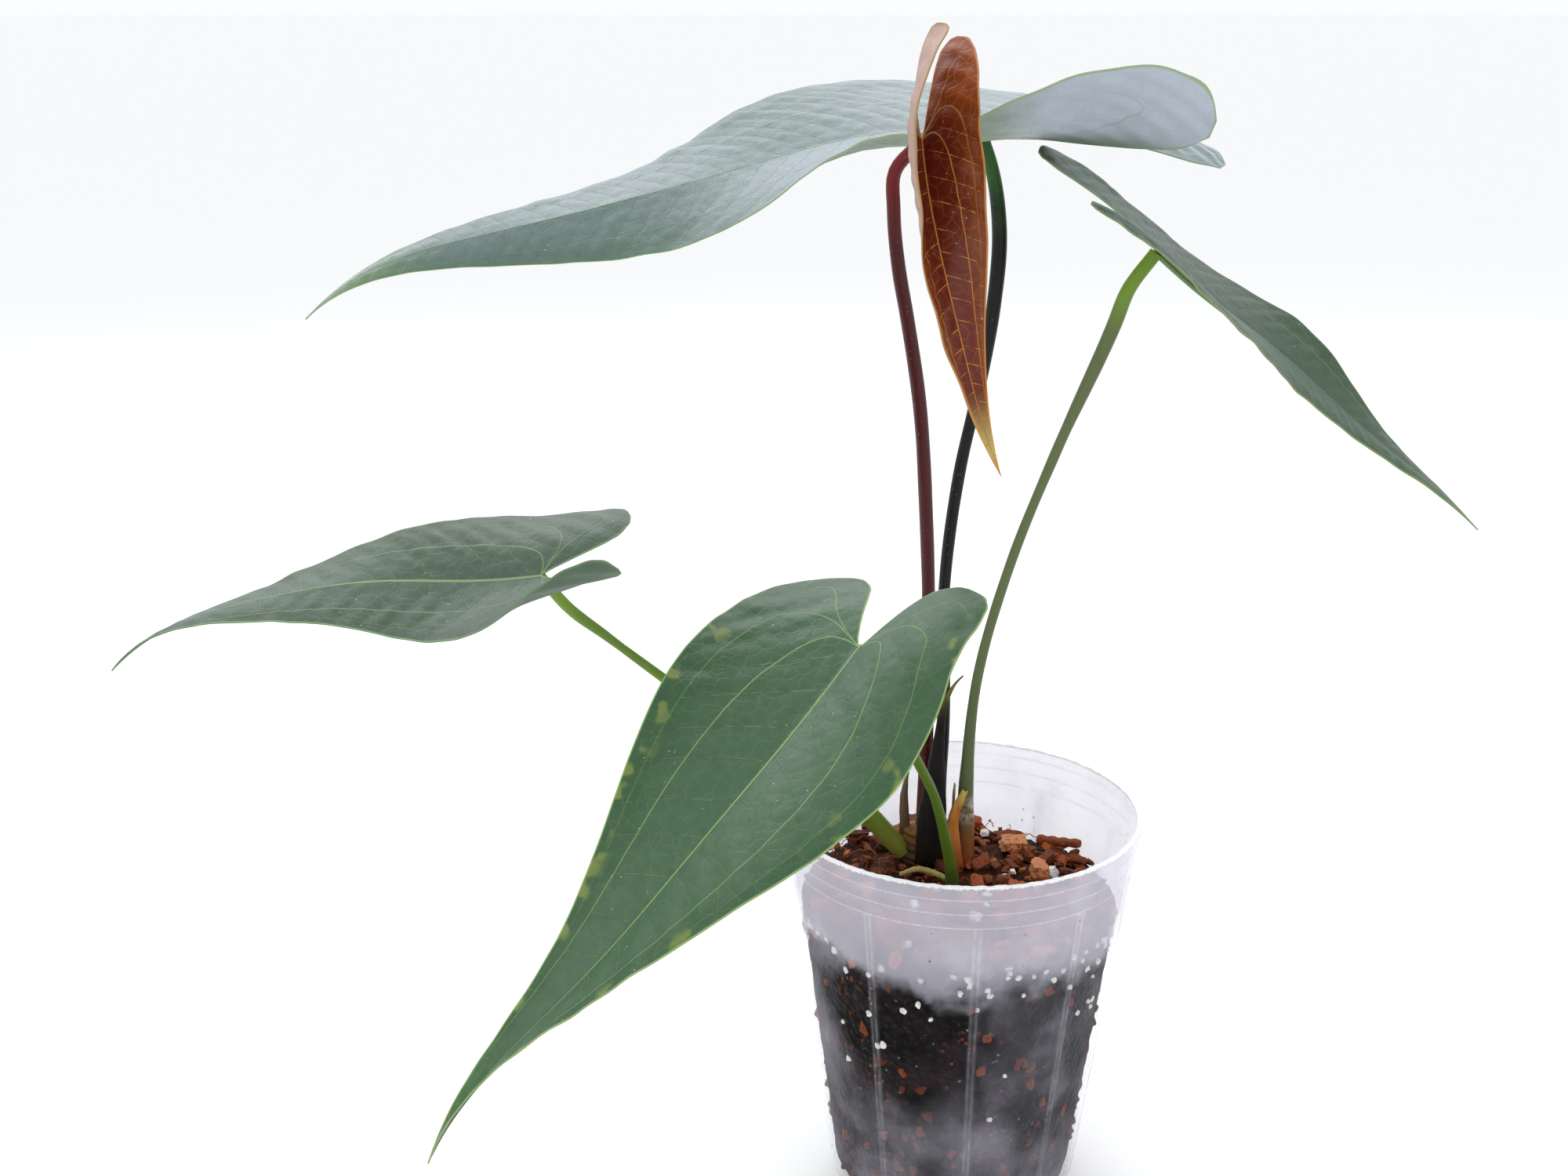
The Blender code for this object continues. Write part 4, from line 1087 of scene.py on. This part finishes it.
def make_mulch(look, bark, perlite):
    """The loose cover: small chips, crumbs and coir fibres over the mix, and what presses against the wall."""
    pick = random.Random(21)
    pile = Pile()
    limit = inner_radius(MIX_EDGE) - 3.5 * MM
    for number in range(look.chips):
        angle = pick.uniform(0, 2 * math.pi)
        reach = limit * math.sqrt(pick.uniform(0.01, 1))
        x, y = reach * math.cos(angle), reach * math.sin(angle)
        if (x - CROWN.x) ** 2 + (y - CROWN.y) ** 2 < (8 * MM) ** 2:
            continue
        long = (pick.uniform(4.5, 8) if number % 4 == 0 else pick.uniform(1.5, 4)) * MM
        size = (long, long * pick.uniform(0.45, 0.8), long * pick.uniform(0.3, 0.5))
        lift = mix_height(x, y) - 0.4 * MM + pick.uniform(0, 1.6) * MM
        white = number % 23 == 5
        add_lump(pile, pick, (long * 0.6,) * 3 if white else size, (x, y, lift), 1 if white else 0, tip=0.6)
    for _ in range(look.fibres):
        angle = pick.uniform(0, 2 * math.pi)
        reach = limit * math.sqrt(pick.uniform(0, 1))
        x, y = reach * math.cos(angle), reach * math.sin(angle)
        heading = pick.uniform(0, 2 * math.pi)
        length = pick.uniform(4, 12) * MM
        route = []
        for t in np.linspace(0, 1, 9):
            heading += pick.uniform(-0.35, 0.35)
            px = x + math.cos(heading) * length * t
            py = y + math.sin(heading) * length * t
            if math.hypot(px, py) > limit:
                break
            route.append((px, py, mix_height(px, py) + (0.6 + 1.8 * math.sin(t * 3) * pick.uniform(0.6, 1)) * MM))
        if len(route) > 3:
            radii = np.full(len(route), pick.uniform(0.1, 0.22) * MM)
            shape, faces, along, _ = bar(route, radii, 5)
            pile.add(shape, faces, 0, tone=pick.uniform(0.35, 0.95), grain=shape / MM)
    for _ in range(look.grains):
        angle = pick.uniform(0, 2 * math.pi)
        height = 108 * MM - abs(pick.gauss(0, 1)) * (7 if pick.random() < 0.85 else 45) * MM
        height = max(8 * MM, height)
        size = pick.uniform(1.3, 2.8) * MM
        reach = inner_radius(height) - size * 0.66 - 0.15 * MM
        add_lump(pile, pick, (size, size * 0.9, size * 0.8), (reach * math.cos(angle), reach * math.sin(angle), height), 1,
                 boxy=0.25, tip=1.5)
    for _ in range(150):
        angle = pick.uniform(0, 2 * math.pi)
        height = pick.uniform(8, 111) * MM
        size = pick.uniform(2, 5.5) * MM
        reach = inner_radius(height) - size * 0.5 - 0.2 * MM
        place = (reach * math.cos(angle), reach * math.sin(angle), height)
        tone = pick.uniform(0.3, 0.85) if height > 100 * MM else pick.uniform(0.0, 0.42)
        add_lump(pile, pick, (size * 0.7, size * 0.75, size), place, 0, tone=tone, boxy=0.5, tip=0.4)
    return pile.build("loose_mulch", [bark, perlite], [], sharp_degrees=35)


class MakeMix(bpy.types.Operator):
    """Builds the plug of mix, the larger chips and grains that lie on it, the twig and the loose cover."""

    bl_idname = "anthurium.make_mix"
    bl_label = "Bark mix"

    def execute(self, context):
        look = context.scene.anthurium_mix
        bark, perlite = bark_paint(look), grain_paint(look)
        make_soil(look)
        make_mulch(look, bark, perlite)
        pick = random.Random(8)
        for node in sorted(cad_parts):
            if not node.startswith(("bark_chip", "perlite")):
                continue
            low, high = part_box(node)
            size, middle = high - low, (high + low) / 2
            grainy = node.startswith("perlite")
            pile = Pile()
            flat_size = (size.x * 0.86, size.y * 0.86, size.z * 0.9)
            points, faces = lump(flat_size, pick.uniform(0, 99), 0.3 if grainy else 0.68, 0.3, 6)
            tone = 0.92 if pick.random() < 0.3 else pick.uniform(0.3, 0.7)
            pile.add(points + np.array(middle), faces, 0, tone=tone, grain=points / MM + pick.uniform(0, 50))
            pile.build(node.replace("bark_chip", "chip").replace("perlite", "grain"),
                       [perlite if grainy else bark], [node], sharp_degrees=32)
        route, places = smooth_route(np.array(TWIG[0]) * MM, 30)
        radii = widths_along(TWIG[1], places) * (1 + 0.12 * np.sin(places * 23))
        shape, faces, along, around = bar(route, radii, 16)
        pile = Pile()
        pile.add(shape, faces, 0, tone=0.42, grain=np.stack([along * 14, around, around * 0], 1))
        pile.build("twig_stub", [bark], ["twig"], sharp_degrees=50)
        return {"FINISHED"}


# Stage


def aim(lamp, target):
    lamp.rotation_euler = (Vector(target) - lamp.location).to_track_quat("-Z", "Y").to_euler()


def add_lamp(name, place, target, power, width, depth, colour):
    data = bpy.data.lights.new(name, "AREA")
    data.shape = "RECTANGLE"
    data.size = width
    data.size_y = depth
    data.energy = power
    data.color = colour
    lamp = bpy.data.objects.new(name, data)
    bpy.context.scene.collection.objects.link(lamp)
    lamp.location = place
    aim(lamp, target)


class MakeStage(bpy.types.Operator):
    """Sets the pale floor, the soft lamps and the camera."""

    bl_idname = "anthurium.make_stage"
    bl_label = "Stage"

    def execute(self, context):
        look = context.scene.anthurium_stage
        mesh = bpy.data.meshes.new("floor")
        reach = 14
        mesh.from_pydata([(-reach, -reach, 0), (reach, -reach, 0), (reach, reach, 0), (-reach, reach, 0)], [],
                         [(0, 1, 2, 3)])
        paint = Paint("pale floor", Specular_IOR_Level=0.2)
        cloud = paint.noise(paint.here(), 3.0, 2)
        colour = paint.blend(cloud * 0.15, look.floor, lightened(look.floor, 0.97))
        mesh.materials.append(paint.finish(colour, cloud * 0.1 + 0.7))
        floor = bpy.data.objects.new("floor", mesh)
        context.scene.collection.objects.link(floor)
        world = bpy.data.worlds.new("room")
        world.use_nodes = True
        world.node_tree.nodes["Background"].inputs["Color"].default_value = (0.97, 0.98, 1.0, 1)
        world.node_tree.nodes["Background"].inputs["Strength"].default_value = look.sky
        context.scene.world = world
        target = (-0.04, 0, 0.22)
        add_lamp("top lamp", (-0.25, 0.75, 1.15), target, look.key, 1.3, 0.9, (1.0, 1.0, 1.0))
        add_lamp("front lamp", (-0.75, -0.95, 0.95), target, look.front, 0.9, 0.9, (1.0, 0.98, 0.95))
        data = bpy.data.cameras.new("camera")
        data.lens = 45
        data.sensor_width = 36
        data.clip_start = 0.01
        camera = bpy.data.objects.new("camera", data)
        camera.location = (-0.059, -0.6007, 0.4127)
        camera.rotation_euler = (math.radians(72.09), 0, 0)
        context.scene.collection.objects.link(camera)
        context.scene.camera = camera
        context.scene.view_settings.view_transform = "Standard"
        return {"FINISHED"}


class AnthuriumPanel(bpy.types.Panel):
    """Lists the settings and the pieces in the order they are made."""

    bl_idname = "VIEW3D_PT_anthurium"
    bl_label = "Potted Anthurium"
    bl_space_type = "VIEW_3D"
    bl_region_type = "UI"
    bl_category = "Anthurium"

    def draw(self, context):
        for operator, (settings, _) in zip(OPERATORS, SETTINGS_FOR):
            box = self.layout.box()
            box.operator(operator.bl_idname)
            group = getattr(context.scene, settings)
            for name in group.bl_rna.properties.keys():
                if name not in ("rna_type", "name"):
                    box.prop(group, name)


OPERATORS = (MakeStage, MakePot, MakeMix, MakeSheaths, MakeStalks, MakeLeaves)
SETTINGS_FOR = (("anthurium_stage", StageLook), ("anthurium_pot", PotPaint), ("anthurium_mix", MixPaint),
                ("anthurium_stalks", StalkPaint), ("anthurium_stalks", StalkPaint), ("anthurium_leaves", LeafPaint))


def register():
    for name, group in dict(SETTINGS_FOR).items():
        bpy.utils.register_class(group)
        setattr(bpy.types.Scene, name, PointerProperty(type=group))
    for made in (*OPERATORS, AnthuriumPanel):
        bpy.utils.register_class(made)


def unregister():
    for made in reversed((*OPERATORS, AnthuriumPanel)):
        bpy.utils.unregister_class(made)
    for name, group in dict(SETTINGS_FOR).items():
        delattr(bpy.types.Scene, name)
        bpy.utils.unregister_class(group)


def main():
    register()
    for operator in OPERATORS:
        kind, action = operator.bl_idname.split(".")
        getattr(getattr(bpy.ops, kind), action)()
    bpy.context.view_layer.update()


if __name__ == "__main__":
    main()
